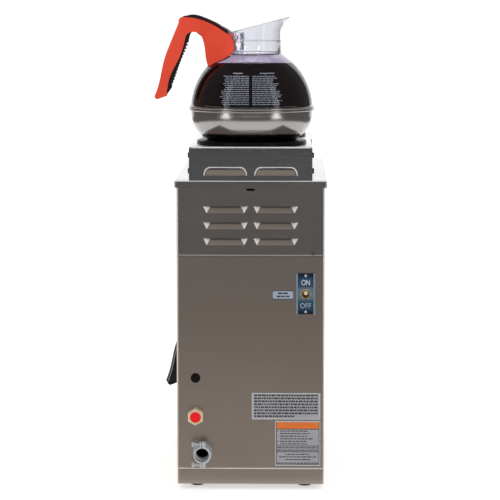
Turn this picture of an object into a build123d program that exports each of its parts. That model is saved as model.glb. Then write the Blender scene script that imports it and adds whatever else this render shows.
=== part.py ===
from build123d import *
import math
import os

# A single-width coffee brewer in millimetres, +Z up, with its front to -Y and its rear panel to +Y.
# Places are set out from the body's middle, its rear face and the counter it stands on.

# Sheet metal
SHEET = 1.2
BEND = 3.0
FLANGE = 12.0
SEAT_GAP = 0.3

# Base
BODY_WIDTH = 216.0
FOOT_HEIGHT = 9.5
FOOT_RADIUS = 9.0
FOOT_FLARE = 2.0
FOOT_INSET_X = 28.0
FOOT_INSET_Y = 40.0
BASE_TOP = 33.0
BASE_DEPTH = 441.0
BASE_EDGE = 2.0

# Trunk and rear panel
TRUNK_DEPTH = 240.0
PANEL_FLANGE = 14.0
PANEL_EDGE = 1.6
PANEL_LIP = 9.0

# Head
HEAD_BOTTOM = 348.6
HEAD_DEPTH = 436.0
LOUVRE_WIDTH = 65.0
LOUVRE_FOOT = 55.0
LOUVRE_FLAT = 44.0
LOUVRE_HEIGHT = 10.0
LOUVRE_DEPTH = 5.0
LOUVRE_PITCH_X = 73.4
LOUVRE_PITCH_Z = 23.5
LOUVRE_MIDDLE = 392.4
LOUVRE_TOE = 0.05
COVER_SLOT_WIDTH = 12.0
COVER_SLOT_HEIGHT = 3.0
COVER_SLOT_DROP = 3.2

# Top cover and upper warmer box
LID_TOP = 458.5
LID_LIP = 10.0
LID_OVERHANG = 3.0
BOX_WIDTH = 180.0
BOX_DEPTH = 357.0
BOX_TOP = 507.5
SCOOP_WIDTH = 62.0
SCOOP_HEIGHT = 12.0
SCOOP_OUT = 3.6
SCOOP_TAPER = 38.0
SCOOP_PITCH = 74.0
SCOOP_MOUTH = 466.0
SCOOP_LEAN = 1.4
SCOOP_END_GAP = 0.1

# Warmers
PLATE_RADIUS = 82.0
PLATE_RISE = 6.0
PLATE_WALL = 2.0
PLATE_EDGE = 3.2
ELEMENT_RADIUS = 58.0
ELEMENT_THICK = 2.4
STUD_RADIUS = 3.0
STUD_LENGTH = 14.0
STUD_NUT = 6.0
STUD_NUT_THICK = 4.0
HOLE_CLEARANCE = 0.4
REAR_WARMER_DEPTH = 89.0
FRONT_WARMER_DEPTH = 268.0
LOWER_WARMER_DEPTH = 352.0

# Fittings on the rear panel
TOGGLE_X = -80.6
TOGGLE_Z = 292.7
TOGGLE_PLATE_WIDTH = 27.7
TOGGLE_PLATE_HEIGHT = 60.3
TOGGLE_PLATE_THICK = 1.0
TOGGLE_RIB_WIDTH = 2.6
TOGGLE_RIB_OUT = 1.6
TOGGLE_SCREW_PITCH = 50.0
TOGGLE_SCREW_RADIUS = 2.4
TOGGLE_BODY_WIDTH = 15.0
TOGGLE_BODY_HEIGHT = 28.0
TOGGLE_BODY_DEPTH = 20.0
BUSHING_RADIUS = 5.9
BUSHING_OUT = 9.0
BUSHING_BORE = 2.7
BUSHING_MOUTH = 4.5
NUT_FLATS = 14.0
NUT_THICK = 3.4
LEVER_PIVOT_OUT = 2.4
LEVER_BALL = 2.4
LEVER_NECK = 1.7
LEVER_TIP = 3.1
LEVER_LENGTH = 19.0
LEVER_TILT = 12.0
SWITCH_LABEL_X = -47.4
SWITCH_LABEL_Z = 290.9
SWITCH_LABEL_WIDTH = 33.4
SWITCH_LABEL_HEIGHT = 14.3
NOTICE_LABEL_X = -52.2
NOTICE_LABEL_Z = 125.8
NOTICE_LABEL_WIDTH = 100.7
NOTICE_LABEL_HEIGHT = 39.3
BAND_LABEL_X = -69.4
BAND_LABEL_Z = 70.5
BAND_LABEL_WIDTH = 66.4
BAND_LABEL_HEIGHT = 67.0
LABEL_THICK = 0.4
PLUG_X = 81.0
PLUG_Z = 167.5
PLUG_RADIUS = 7.1
PLUG_SHANK = 5.9
PLUG_OUT = 1.8
INLET_X = 80.6
INLET_Z = 111.7
INLET_HEX_FLATS = 21.5
INLET_HEX_OUT = 15.0
INLET_HEX_EDGE = 1.0
INLET_SHANK = 7.0
INLET_SHANK_LENGTH = 9.0
INLET_BORE = 3.2
SOCKET_RADIUS = 7.95
SOCKET_DEPTH = 11.0
CAP_PROUD = 1.0
CAP_EDGE = 0.6
RUNNING_FIT = 0.05

# Cable clamp
CLAMP_X = 70.8
CLAMP_Z = 57.0
CLAMP_BORE = 9.5
CLAMP_FLANGE = 14.0
CLAMP_FLANGE_THICK = 3.0
CLAMP_STUB = 10.9
CLAMP_STUB_IN = 9.0
CRADLE_BORE = 10.2
CRADLE_RADIUS = 13.4
SADDLE_RADIUS = 12.4
CLAMP_OUT = 24.0
CLAMP_EAR_HEIGHT = 7.6
CLAMP_EAR_DEPTH = 10.0
CLAMP_EAR_THICK = 5.0
SADDLE_EAR_THICK = 2.6
CLAMP_SPLIT = 0.8
CLAMP_SCREW_PITCH = 30.0
CLAMP_SCREW_RADIUS = 2.0
CLAMP_SCREW_HEAD = 3.6
CLAMP_SCREW_HEAD_THICK = 3.0
CLAMP_SCREW_LENGTH = 20.0

# Housing screws
SCREW_RADIUS = 2.0
SCREW_HEAD = 4.0
SCREW_HEAD_THICK = 2.6
SCREW_LENGTH = 7.0
BOX_SCREW_TOP = 494.0
BOX_SCREW_BOTTOM = 471.0
BOX_SCREW_INSET = 25.0
HOOD_SCREW_X = -91.1
HOOD_SCREW_RISE = 3.4

# Funnel, rails and spray head
FUNNEL_RIM = 90.0
FUNNEL_RIM_THICK = 3.0
FUNNEL_TOP = 344.5
FUNNEL_WALL = 3.0
FUNNEL_SHOULDER = 84.0
FUNNEL_KNEE = 78.0
FUNNEL_KNEE_Z = 276.0
FUNNEL_THROAT = 18.0
FUNNEL_THROAT_Z = 246.0
FUNNEL_NOZZLE = 9.0
FUNNEL_BOTTOM = 237.0
FUNNEL_DRIP = 4.0
RAIL_LIP = 7.0
RAIL_LENGTH = 174.0
RAIL_SHELF = 10.0
RACK_RING_WIDTH = 2.0
RACK_RING_HEIGHT = 2.4
RACK_TOP_DROP = 12.0
RACK_WIRE = 1.2
RACK_WIRES = 8
HANDLE_REACH = 62.0
HANDLE_WIDTH = 26.0
HANDLE_ROUND = 5.0

# Side outline of the funnel's handle: in from its front end and down from the funnel's rim
HANDLE_TOP = ((8.0, 12.0), (0.0, 20.0), (4.0, 32.0))
HANDLE_ROOT_TOP = 4.0
HANDLE_HOLLOW = (34.0, 31.0)
HANDLE_ROOT_BOTTOM = 54.0

# Spray head
SPRAY_RADIUS = 22.0
SPRAY_THICK = 3.6
SPRAY_STEM = 6.0
SPRAY_STEM_RISE = 9.0
SPRAY_HOLE = 1.6
SPRAY_HOLE_CIRCLE = 14.0
SPRAY_HOLES = 6

# Front controls
ROCKER_Z = 402.0
ROCKER_PITCH = 36.0
ROCKER_WIDTH = 15.0
ROCKER_HEIGHT = 24.0
ROCKER_FRONT = 5.0
ROCKER_VALLEY = 3.4
ROCKER_BACK = 5.0
ROCKER_THROW = 8.0
ROCKER_PIN = 1.4
ROCKER_PIN_OUT = 1.2
ROCKER_SIDE_GAP = 0.4
ROCKER_END_GAP = 1.4
FRAME_WALL = 1.8
FRAME_BEZEL = 2.5
FRAME_BEZEL_THICK = 2.0
FRAME_DEPTH = 20.0
FRAME_BACK = 3.0
PIVOT_SET_BACK = 3.0
LAMP_X = 92.0
LAMP_RADIUS = 5.0
LAMP_OUT = 2.5
LAMP_EDGE = 1.6
LAMP_STEM = 4.0
LAMP_DEPTH = 14.0

# Water tank and its fittings
TANK_WIDTH = 150.0
TANK_DEPTH = 130.0
TANK_MIDDLE = 135.0
TANK_CORNER = 25.0
TANK_HEIGHT = 260.0
TANK_WALL = 1.2
TANK_LEG = 15.0
TANK_LEG_RADIUS = 5.0
TANK_LID_LIP = 3.0
TANK_LID_THICK = 2.0
HEATER_TUBE = 4.0
HEATER_SPAN = 60.0
HEATER_DROP = 200.0
HEATER_POST = 14.0
HEATER_DEPTH = 160.0
PROBE_RADIUS = 3.0
PROBE_DROP = 150.0
PROBE_X = -45.0
PROBE_DEPTH = 105.0
PROBE_HEAD = 6.0
PROBE_HEAD_RISE = 8.0
SPRAY_TUBE_RADIUS = 6.5
SPRAY_TUBE_BORE = 4.0
SPRAY_TUBE_DEPTH = 118.0
SPRAY_TUBE_RISE = 36.2
SPRAY_TUBE_TURN = 18.0
INLET_TUBE_RADIUS = 3.2
INLET_TUBE_RISE = 24.0
INLET_TUBE_TURN = 12.0
INLET_TUBE_X = 42.0
INLET_TUBE_DEPTH = 95.0
VALVE_WIDTH = 24.0
VALVE_HEIGHT = 24.0
VALVE_DEPTH = 28.0
VALVE_OUTLET = 6.0
VALVE_OUTLET_RISE = 8.0
COIL_RADIUS = 11.0
COIL_LENGTH = 24.0
BOARD_WIDTH = 150.0
BOARD_DEPTH = 44.0
BOARD_THICK = 1.6
BOARD_RISE = 8.0
BOARD_MARGIN = 6.0
BOARD_POST = 3.0
BOARD_RELAY = 14.0

# Decanter, with heights from its own base, and those from the neck ring on from the foot of its neck
BOWL_FOOT = 65.3
BOWL_TOP = 43.3
BOWL_RADIUS = 90.2
BOWL_CURVE = 46.2
BOWL_WALL = 1.2
BAND_RADIUS = 93.3
BAND_HEIGHT = 7.1
DOME_FOOT = 90.5
DOME_CURVE = 95.5
DOME_WALL = 2.0
DOME_LIP = 5.8
NECK_RADIUS = 43.3
NECK_BOTTOM = 128.0
NECK_RING = 1.0
NECK_RING_HEIGHT = 1.8
NECK_RING_LOW = 3.0
NECK_RING_HIGH = 18.5
FLARE_BACK = 23.5
FLARE_FRONT = 30.0
RIM_BACK = 27.6
RIM_TIP = 53.4
SPOUT_REACH = 56.0
SPOUT_SHOULDER = 0.66
SPOUT_SHOULDER_AT = 0.62
SPOUT_LIP = 0.24
SPOUT_LIP_AT = 0.9
COFFEE_DROP = 15.7
COFFEE_GAP = 0.15
LOWER_TURN = 10.0

# Decanter handle, with its heights from the foot of the neck
GRIP_REACH = 144.0
CORE_HALF = 5.0
CHEEK_THICK = 8.0
ROOT_HALF = 41.0
ROOT_FLARE_START = 76.0
ROOT_FLARE_END = 38.0
SADDLE_THICK = 2.5
SADDLE_BOTTOM = 4.5
SADDLE_TOP = 30.6
SADDLE_SPAN = 148.0
HANDLE_FIT = 0.1
DOME_CLEARANCE = 0.4
RIB_RADIUS = 1.5
RIBS = 14
RIB_FOOT = (25.6, -48.0)
RIB_HEAD = (49.7, 17.0)

# Side outlines of the handle, each point in from the handle's tip and up from the foot of the neck
CORE_CREST = ((114.0, 31.5), (93.0, 45.0), (75.0, 53.2), (60.5, 57.6), (46.5, 56.0))
CORE_SHOULDER = ((46.5, 56.0), (39.5, 53.5), (36.8, 46.0))
CORE_BACK = ((36.8, 46.0), (25.5, 18.0), (15.0, -10.8), (8.6, -40.0), (1.5, -61.5))
CORE_TIP = ((1.5, -61.5), (4.5, -66.0), (17.0, -61.5), (24.8, -51.0))
CORE_GRIP = ((24.8, -51.0), (28.2, -40.0), (38.5, -10.8), (50.2, 18.8), (59.5, 33.0))
CORE_ROOT = ((59.5, 33.0), (72.5, 23.0), (79.0, -10.0), (82.5, -18.0), (114.0, 6.0), (114.0, 31.5))
CHEEK_CREST = ((114.0, 25.5), (93.0, 39.4), (72.0, 49.0), (44.2, 53.9))
CHEEK_SHOULDER = ((44.2, 53.9), (37.2, 52.0), (35.7, 46.0))
CHEEK_BACK = ((35.7, 46.0), (24.0, 17.5), (13.6, -10.8), (7.2, -40.0), (0.0, -62.0))
CHEEK_TIP = ((0.0, -62.0), (0.6, -66.4), (4.2, -67.6))
CHEEK_TOE = ((4.2, -67.6), (17.1, -63.0), (18.0, -55.0))
CHEEK_GRIP = ((18.0, -55.0), (20.8, -40.0), (34.2, -10.8), (44.6, 18.8), (58.0, 32.0))
CHEEK_ARCH = ((58.0, 32.0), (70.5, 23.9), (76.6, -8.0), (80.0, -22.5))
CHEEK_ROOT = ((80.0, -22.5), (116.0, 0.5), (119.0, 8.0), (117.5, 19.0), (114.0, 25.5))
GRIP_START = (-0.1, 1.0)
CHEEK_GRIP_START = (-0.2, 1.0)
GRIP_END = (-1.0, 0.0)
ARCH_END = (-0.2, -1.0)

# Places that follow from the sizes
HALF_WIDTH = BODY_WIDTH / 2
FRONT_REACH = LOWER_WARMER_DEPTH + FUNNEL_RIM + HANDLE_REACH
REAR_REACH = CLAMP_OUT
BODY_X = -(GRIP_REACH - HALF_WIDTH - LID_OVERHANG) / 2
REAR_Y = (FRONT_REACH - REAR_REACH) / 2
FLOOR_BOTTOM = HEAD_BOTTOM + SHEET
FLOOR_TOP = FLOOR_BOTTOM + SHEET
COVER_SEAT = LID_TOP - SHEET
INNER_HALF = HALF_WIDTH - SHEET
FOOT_X = HALF_WIDTH - FOOT_INSET_X
FRAME_INNER_WIDTH = ROCKER_WIDTH + 2 * ROCKER_SIDE_GAP
FRAME_INNER_HEIGHT = ROCKER_HEIGHT + 2 * ROCKER_END_GAP
FRAME_WIDTH = FRAME_INNER_WIDTH + 2 * FRAME_WALL
FRAME_HEIGHT = FRAME_INNER_HEIGHT + 2 * FRAME_WALL
TANK_BOTTOM = BASE_TOP + TANK_LEG
TANK_TOP = TANK_BOTTOM + TANK_HEIGHT
TANK_LID_TOP = TANK_TOP + TANK_LID_THICK
SPRAY_TUBE_TOP = max(TANK_LID_TOP, FLOOR_BOTTOM) + SPRAY_TUBE_RISE
INLET_TUBE_TOP = TANK_LID_TOP + INLET_TUBE_RISE
RAIL_TOP = FLOOR_BOTTOM
RAIL_SEAT = FUNNEL_TOP - FUNNEL_RIM_THICK - SEAT_GAP

os.makedirs("parts", exist_ok=True)


def level(height, x=0.0, depth=0.0):
    """Horizontal sketch plane at a height above the counter, x from the middle and depth from the rear."""
    return Plane(origin=(BODY_X + x, REAR_Y - depth, height))


def rear_face(x, height, out=0.0):
    """Upright sketch plane that looks to the rear, with its local Y up."""
    return Plane(origin=(BODY_X + x, REAR_Y + out, height), x_dir=(-1, 0, 0), z_dir=(0, 1, 0))


def front_face(x, height, depth):
    """Upright sketch plane that looks to the front, with its local Y up."""
    return Plane(origin=(BODY_X + x, REAR_Y - depth, height), x_dir=(1, 0, 0), z_dir=(0, -1, 0))


def side_face(x, depth, height):
    """Upright sketch plane that looks to +X, with its local X to the rear and its local Y up."""
    return Plane(origin=(BODY_X + x, REAR_Y - depth, height), x_dir=(0, 1, 0), z_dir=(1, 0, 0))


# Base: a folded pan over a flat plate, on four rubber feet
with BuildPart() as base_shell:
    with BuildSketch(level(FOOT_HEIGHT, depth=BASE_DEPTH / 2)):
        Rectangle(BODY_WIDTH, BASE_DEPTH)
    extrude(amount=BASE_TOP - FOOT_HEIGHT)
    fillet(base_shell.edges().filter_by(Axis.Z), BEND)
    fillet(base_shell.faces().sort_by(Axis.Z)[-1].edges(), BASE_EDGE)
    offset(amount=-SHEET, openings=base_shell.faces().sort_by(Axis.Z)[0])
    with BuildSketch(level(BASE_TOP, depth=LOWER_WARMER_DEPTH)):
        Circle(STUD_RADIUS + HOLE_CLEARANCE)
    extrude(amount=-2 * SHEET, mode=Mode.SUBTRACT)
base_shell.part.label = "base_shell"
export_step(base_shell.part, "parts/base_shell.step")

with BuildPart() as base_plate:
    with BuildSketch(level(FOOT_HEIGHT, depth=BASE_DEPTH / 2)):
        RectangleRounded(
            BODY_WIDTH - 2 * SHEET - 2 * HOLE_CLEARANCE,
            BASE_DEPTH - 2 * SHEET - 2 * HOLE_CLEARANCE,
            BEND - SHEET,
        )
        with GridLocations(2 * FOOT_X, BASE_DEPTH - 2 * FOOT_INSET_Y, 2, 2):
            Circle(SCREW_RADIUS + RUNNING_FIT, mode=Mode.SUBTRACT)
    extrude(amount=SHEET)
base_plate.part.label = "base_plate"
export_step(base_plate.part, "parts/base_plate.step")

with BuildPart() as feet:
    with BuildSketch(level(0, depth=BASE_DEPTH / 2)):
        with GridLocations(2 * FOOT_X, BASE_DEPTH - 2 * FOOT_INSET_Y, 2, 2):
            Circle(FOOT_RADIUS)
    extrude(amount=FOOT_HEIGHT, taper=-math.degrees(math.atan(FOOT_FLARE / FOOT_HEIGHT)))
    with BuildSketch(level(0, depth=BASE_DEPTH / 2)):
        with GridLocations(2 * FOOT_X, BASE_DEPTH - 2 * FOOT_INSET_Y, 2, 2):
            Circle(SCREW_HEAD + HOLE_CLEARANCE)
    extrude(amount=FOOT_HEIGHT / 2, mode=Mode.SUBTRACT)
    with BuildSketch(level(0, depth=BASE_DEPTH / 2)):
        with GridLocations(2 * FOOT_X, BASE_DEPTH - 2 * FOOT_INSET_Y, 2, 2):
            Circle(SCREW_RADIUS + RUNNING_FIT)
    extrude(amount=FOOT_HEIGHT, mode=Mode.SUBTRACT)
feet.part.label = "feet"
export_step(feet.part, "parts/feet.step")

with BuildPart() as foot_screws:
    with BuildSketch(level(FOOT_HEIGHT / 2, depth=BASE_DEPTH / 2)):
        with GridLocations(2 * FOOT_X, BASE_DEPTH - 2 * FOOT_INSET_Y, 2, 2):
            Circle(SCREW_HEAD)
    extrude(amount=-SCREW_HEAD_THICK)
    with BuildSketch(level(FOOT_HEIGHT / 2, depth=BASE_DEPTH / 2)):
        with GridLocations(2 * FOOT_X, BASE_DEPTH - 2 * FOOT_INSET_Y, 2, 2):
            Circle(SCREW_RADIUS)
    extrude(amount=FOOT_HEIGHT / 2 + 2 * SHEET)
foot_screws.part.label = "foot_screws"
export_step(foot_screws.part, "parts/foot_screws.step")

# Trunk: a wrap of sheet that leaves the rear open for the panel
with BuildPart() as trunk_shell:
    with BuildSketch(level(BASE_TOP, depth=(PANEL_FLANGE + TRUNK_DEPTH) / 2)):
        Rectangle(BODY_WIDTH, TRUNK_DEPTH - PANEL_FLANGE)
    extrude(amount=HEAD_BOTTOM - BASE_TOP)
    fillet(trunk_shell.edges().filter_by(Axis.Z).group_by(Axis.Y)[0], BEND)
    offset(amount=-SHEET, openings=trunk_shell.faces().sort_by(Axis.Y)[-1])
    with BuildSketch(level(BASE_TOP, depth=(PANEL_FLANGE + TRUNK_DEPTH - FLANGE) / 2)):
        Rectangle(BODY_WIDTH - 2 * FLANGE, TRUNK_DEPTH - PANEL_FLANGE - FLANGE)
    extrude(amount=HEAD_BOTTOM - BASE_TOP, mode=Mode.SUBTRACT)
    for side in (-1, 1):
        lip_x = side * (INNER_HALF - SHEET / 2)
        with BuildSketch(level(BASE_TOP + 2 * SHEET, lip_x, PANEL_FLANGE)):
            Rectangle(SHEET, 2 * PANEL_LIP)
        extrude(amount=HEAD_BOTTOM - BASE_TOP - 4 * SHEET)
trunk_shell.part.label = "trunk_shell"
export_step(trunk_shell.part, "parts/trunk_shell.step")

# Rear panel: a shallow tray with a hole for each fitting
REAR_HOLES = (
    (TOGGLE_X, TOGGLE_Z, BUSHING_RADIUS + HOLE_CLEARANCE),
    (PLUG_X, PLUG_Z, PLUG_SHANK + RUNNING_FIT),
    (INLET_X, INLET_Z, INLET_SHANK + RUNNING_FIT),
    (CLAMP_X, CLAMP_Z, CLAMP_STUB + RUNNING_FIT),
)
with BuildPart() as rear_panel:
    with BuildSketch(level(BASE_TOP, depth=PANEL_FLANGE / 2)):
        Rectangle(BODY_WIDTH, PANEL_FLANGE)
    extrude(amount=HEAD_BOTTOM - BASE_TOP)
    fillet(rear_panel.edges().filter_by(Axis.Z).group_by(Axis.Y)[-1], BEND)
    fillet(rear_panel.faces().sort_by(Axis.Y)[-1].edges().filter_by(Axis.X), PANEL_EDGE)
    offset(amount=-SHEET, openings=rear_panel.faces().sort_by(Axis.Y)[0])
    for x, height, radius in REAR_HOLES:
        with BuildSketch(rear_face(x, height)):
            Circle(radius)
        extrude(amount=-2 * SHEET, mode=Mode.SUBTRACT)
rear_panel.part.label = "rear_panel"
export_step(rear_panel.part, "parts/rear_panel.step")


def louvre_form(skin):
    """Wedge of one pressed-in louvre, its mouth at the top, grown by skin for the outside of its sheet."""
    with BuildPart() as form:
        with BuildSketch(Plane.XZ.offset(-LOUVRE_HEIGHT / 2)):
            Polygon(
                (-LOUVRE_WIDTH / 2, 0),
                (LOUVRE_WIDTH / 2, 0),
                (LOUVRE_FLAT / 2 + skin, -LOUVRE_DEPTH - skin),
                (-LOUVRE_FLAT / 2 - skin, -LOUVRE_DEPTH - skin),
                align=None,
            )
        with BuildSketch(Plane.XZ.offset(LOUVRE_HEIGHT / 2 + skin)):
            foot = LOUVRE_FOOT / 2 + skin
            toe = -skin - LOUVRE_TOE
            Polygon((-foot, 0), (foot, 0), (foot, toe), (-foot, toe), align=None)
        loft(ruled=True)
    return form.part


# Hood: rear and side walls of the head, with six louvres pressed into the rear
louvre_skin = louvre_form(SHEET)
louvre_pocket = louvre_form(0.0)
with BuildPart(rear_face(0, LOUVRE_MIDDLE)) as hood_shell:
    with BuildSketch(level(HEAD_BOTTOM, depth=HEAD_DEPTH / 2)):
        Rectangle(BODY_WIDTH, HEAD_DEPTH)
    extrude(amount=COVER_SEAT - HEAD_BOTTOM)
    fillet(hood_shell.edges().filter_by(Axis.Z).group_by(Axis.Y)[-1], BEND)
    top_and_front = [hood_shell.faces().sort_by(Axis.Z)[-1], hood_shell.faces().sort_by(Axis.Y)[0]]
    offset(amount=-SHEET, openings=top_and_front)
    with BuildSketch(level(HEAD_BOTTOM, depth=(FLANGE + TRUNK_DEPTH) / 2)):
        Rectangle(BODY_WIDTH - 2 * FLANGE, TRUNK_DEPTH - FLANGE)
    extrude(amount=SHEET, mode=Mode.SUBTRACT)
    with BuildSketch(level(HEAD_BOTTOM, depth=(TRUNK_DEPTH + FLANGE + HEAD_DEPTH) / 2)):
        Rectangle(BODY_WIDTH - 2 * FLANGE, HEAD_DEPTH - TRUNK_DEPTH - FLANGE)
    extrude(amount=SHEET, mode=Mode.SUBTRACT)
    with GridLocations(LOUVRE_PITCH_X, LOUVRE_PITCH_Z, 2, 3):
        add(louvre_skin)
    with GridLocations(LOUVRE_PITCH_X, LOUVRE_PITCH_Z, 2, 3):
        add(louvre_pocket, mode=Mode.SUBTRACT)
    with BuildSketch(rear_face(0, LID_TOP - LID_LIP - COVER_SLOT_DROP)):
        Rectangle(COVER_SLOT_WIDTH, COVER_SLOT_HEIGHT)
    extrude(amount=-2 * SHEET, mode=Mode.SUBTRACT)
    with BuildSketch(rear_face(HOOD_SCREW_X, HEAD_BOTTOM + HOOD_SCREW_RISE)):
        Circle(SCREW_RADIUS + RUNNING_FIT)
    extrude(amount=-2 * SHEET, mode=Mode.SUBTRACT)
hood_shell.part.label = "hood_shell"
export_step(hood_shell.part, "parts/hood_shell.step")

with BuildPart() as head_floor:
    with BuildSketch(level(FLOOR_BOTTOM, depth=(TRUNK_DEPTH + HEAD_DEPTH) / 2)):
        Rectangle(2 * INNER_HALF, HEAD_DEPTH - TRUNK_DEPTH)
    extrude(amount=SHEET)
    with BuildSketch(level(FLOOR_BOTTOM, depth=LOWER_WARMER_DEPTH)):
        Circle(SPRAY_STEM + HOLE_CLEARANCE)
    extrude(amount=SHEET, mode=Mode.SUBTRACT)
head_floor.part.label = "head_floor"
export_step(head_floor.part, "parts/head_floor.step")

# Front panel of the head, with a window for each rocker and one for the lamp
ROCKER_XS = [(column - 1.5) * ROCKER_PITCH for column in range(4)]
with BuildPart() as front_fascia:
    with BuildSketch(level(FLOOR_TOP, depth=HEAD_DEPTH - FLANGE / 2)):
        Rectangle(2 * INNER_HALF, FLANGE)
    extrude(amount=COVER_SEAT - FLOOR_TOP)
    offset(amount=-SHEET, openings=front_fascia.faces().sort_by(Axis.Y)[-1])
    for x in ROCKER_XS:
        with BuildSketch(front_face(x, ROCKER_Z, HEAD_DEPTH)):
            Rectangle(FRAME_WIDTH + 2 * RUNNING_FIT, FRAME_HEIGHT + 2 * RUNNING_FIT)
        extrude(amount=-2 * SHEET, mode=Mode.SUBTRACT)
    with BuildSketch(front_face(LAMP_X, ROCKER_Z, HEAD_DEPTH)):
        Circle(LAMP_STEM + RUNNING_FIT)
    extrude(amount=-2 * SHEET, mode=Mode.SUBTRACT)
front_fascia.part.label = "front_fascia"
export_step(front_fascia.part, "parts/front_fascia.step")

with BuildPart() as top_cover:
    with BuildSketch(level(LID_TOP - LID_LIP, depth=HEAD_DEPTH / 2)):
        Rectangle(BODY_WIDTH + 2 * LID_OVERHANG, HEAD_DEPTH + 2 * LID_OVERHANG)
    extrude(amount=LID_LIP)
    fillet(top_cover.edges().filter_by(Axis.Z), BEND)
    fillet(top_cover.faces().sort_by(Axis.Z)[-1].edges(), BASE_EDGE)
    offset(amount=-SHEET, openings=top_cover.faces().sort_by(Axis.Z)[0])
top_cover.part.label = "top_cover"
export_step(top_cover.part, "parts/top_cover.step")


def scoop_form(skin):
    """Upper half of one pressed-out vent, its mouth downwards, shrunk by skin for its inside."""
    half_height = SCOOP_HEIGHT - skin
    lean = math.degrees(math.atan(SCOOP_LEAN / SCOOP_HEIGHT))
    mouth_face = Plane.XY.offset(SCOOP_OUT - SCOOP_LEAN - skin).rotated((lean, 0, 0))
    with BuildPart() as form:
        for start, amount, taper in ((-SHEET, SHEET, 0.0), (0.0, SCOOP_OUT - skin, SCOOP_TAPER)):
            with BuildSketch(Plane.XY.offset(start)):
                RectangleRounded(SCOOP_WIDTH - 2 * skin, 2 * half_height, half_height - SCOOP_END_GAP)
            extrude(amount=amount, taper=taper)
        split(bisect_by=Plane.XZ, keep=Keep.BOTTOM)
        split(bisect_by=mouth_face, keep=Keep.BOTTOM)
    return form.part


# Upper warmer box: a folded pan that stands on the cover
BOX_SCREW_DEPTHS = (BOX_SCREW_INSET, BOX_DEPTH - BOX_SCREW_INSET)
BOX_SCREW_HEIGHTS = (BOX_SCREW_BOTTOM, BOX_SCREW_TOP)
scoop_outside = scoop_form(0.0)
scoop_inside = scoop_form(SHEET)
with BuildPart(rear_face(0, SCOOP_MOUTH)) as warmer_box:
    with BuildSketch(level(LID_TOP, depth=BOX_DEPTH / 2)):
        Rectangle(BOX_WIDTH, BOX_DEPTH)
    extrude(amount=BOX_TOP - LID_TOP)
    fillet(warmer_box.faces().sort_by(Axis.Z)[-1].edges(), BASE_EDGE)
    offset(amount=-SHEET, openings=warmer_box.faces().sort_by(Axis.Z)[0])
    with GridLocations(SCOOP_PITCH, 0, 2, 1):
        add(scoop_outside)
    with GridLocations(SCOOP_PITCH, 0, 2, 1):
        add(scoop_inside, mode=Mode.SUBTRACT)
    for depth in (REAR_WARMER_DEPTH, FRONT_WARMER_DEPTH):
        with BuildSketch(level(BOX_TOP, depth=depth)):
            Circle(STUD_RADIUS + HOLE_CLEARANCE)
        extrude(amount=-2 * SHEET, mode=Mode.SUBTRACT)
    for depth in BOX_SCREW_DEPTHS:
        for height in BOX_SCREW_HEIGHTS:
            with BuildSketch(side_face(0, depth, height)):
                Circle(SCREW_RADIUS + RUNNING_FIT)
            extrude(amount=BOX_WIDTH, both=True, mode=Mode.SUBTRACT)
warmer_box.part.label = "warmer_box"
export_step(warmer_box.part, "parts/warmer_box.step")


def warmer_plate(name, deck, depth):
    """Black warmer plate, a shallow dish turned over on its deck."""
    with BuildPart() as plate:
        with BuildSketch(level(deck, depth=depth)):
            Circle(PLATE_RADIUS)
        extrude(amount=PLATE_RISE)
        fillet(plate.faces().sort_by(Axis.Z)[-1].edges(), PLATE_EDGE)
        offset(amount=-PLATE_WALL, openings=plate.faces().sort_by(Axis.Z)[0])
    plate.part.label = name
    export_step(plate.part, f"parts/{name}.step")


WARMERS = (
    ("upper_rear_warmer", BOX_TOP, REAR_WARMER_DEPTH),
    ("upper_front_warmer", BOX_TOP, FRONT_WARMER_DEPTH),
    ("lower_warmer", BASE_TOP, LOWER_WARMER_DEPTH),
)
for warmer_name, warmer_deck, warmer_depth in WARMERS:
    warmer_plate(warmer_name, warmer_deck, warmer_depth)

# Heating discs under the plates, each drawn down by a stud and nut through its deck
with BuildPart() as warmer_elements:
    for warmer_name, warmer_deck, warmer_depth in WARMERS:
        element_top = warmer_deck + PLATE_RISE - PLATE_WALL
        with BuildSketch(level(element_top, depth=warmer_depth)):
            Circle(ELEMENT_RADIUS)
        extrude(amount=-ELEMENT_THICK)
        with BuildSketch(level(element_top, depth=warmer_depth)):
            Circle(STUD_RADIUS)
        extrude(amount=-STUD_LENGTH)
        with BuildSketch(level(warmer_deck - SHEET, depth=warmer_depth)):
            RegularPolygon(STUD_NUT, 6)
        extrude(amount=-STUD_NUT_THICK)
warmer_elements.part.label = "warmer_elements"
export_step(warmer_elements.part, "parts/warmer_elements.step")

# Toggle switch on the rear panel
with BuildPart() as toggle_plate:
    with BuildSketch(rear_face(TOGGLE_X, TOGGLE_Z)):
        Rectangle(TOGGLE_PLATE_WIDTH, TOGGLE_PLATE_HEIGHT)
        Circle(BUSHING_RADIUS + HOLE_CLEARANCE, mode=Mode.SUBTRACT)
    extrude(amount=TOGGLE_PLATE_THICK)
    with BuildSketch(rear_face(TOGGLE_X, TOGGLE_Z, TOGGLE_PLATE_THICK)):
        with GridLocations(TOGGLE_PLATE_WIDTH - TOGGLE_RIB_WIDTH, 0, 2, 1):
            Rectangle(TOGGLE_RIB_WIDTH, TOGGLE_PLATE_HEIGHT)
    extrude(amount=TOGGLE_RIB_OUT)
    with BuildSketch(rear_face(TOGGLE_X, TOGGLE_Z, TOGGLE_PLATE_THICK)):
        with GridLocations(0, TOGGLE_SCREW_PITCH, 1, 2):
            Circle(TOGGLE_SCREW_RADIUS)
    extrude(amount=TOGGLE_PLATE_THICK)
toggle_plate.part.label = "toggle_plate"
export_step(toggle_plate.part, "parts/toggle_plate.step")

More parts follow.
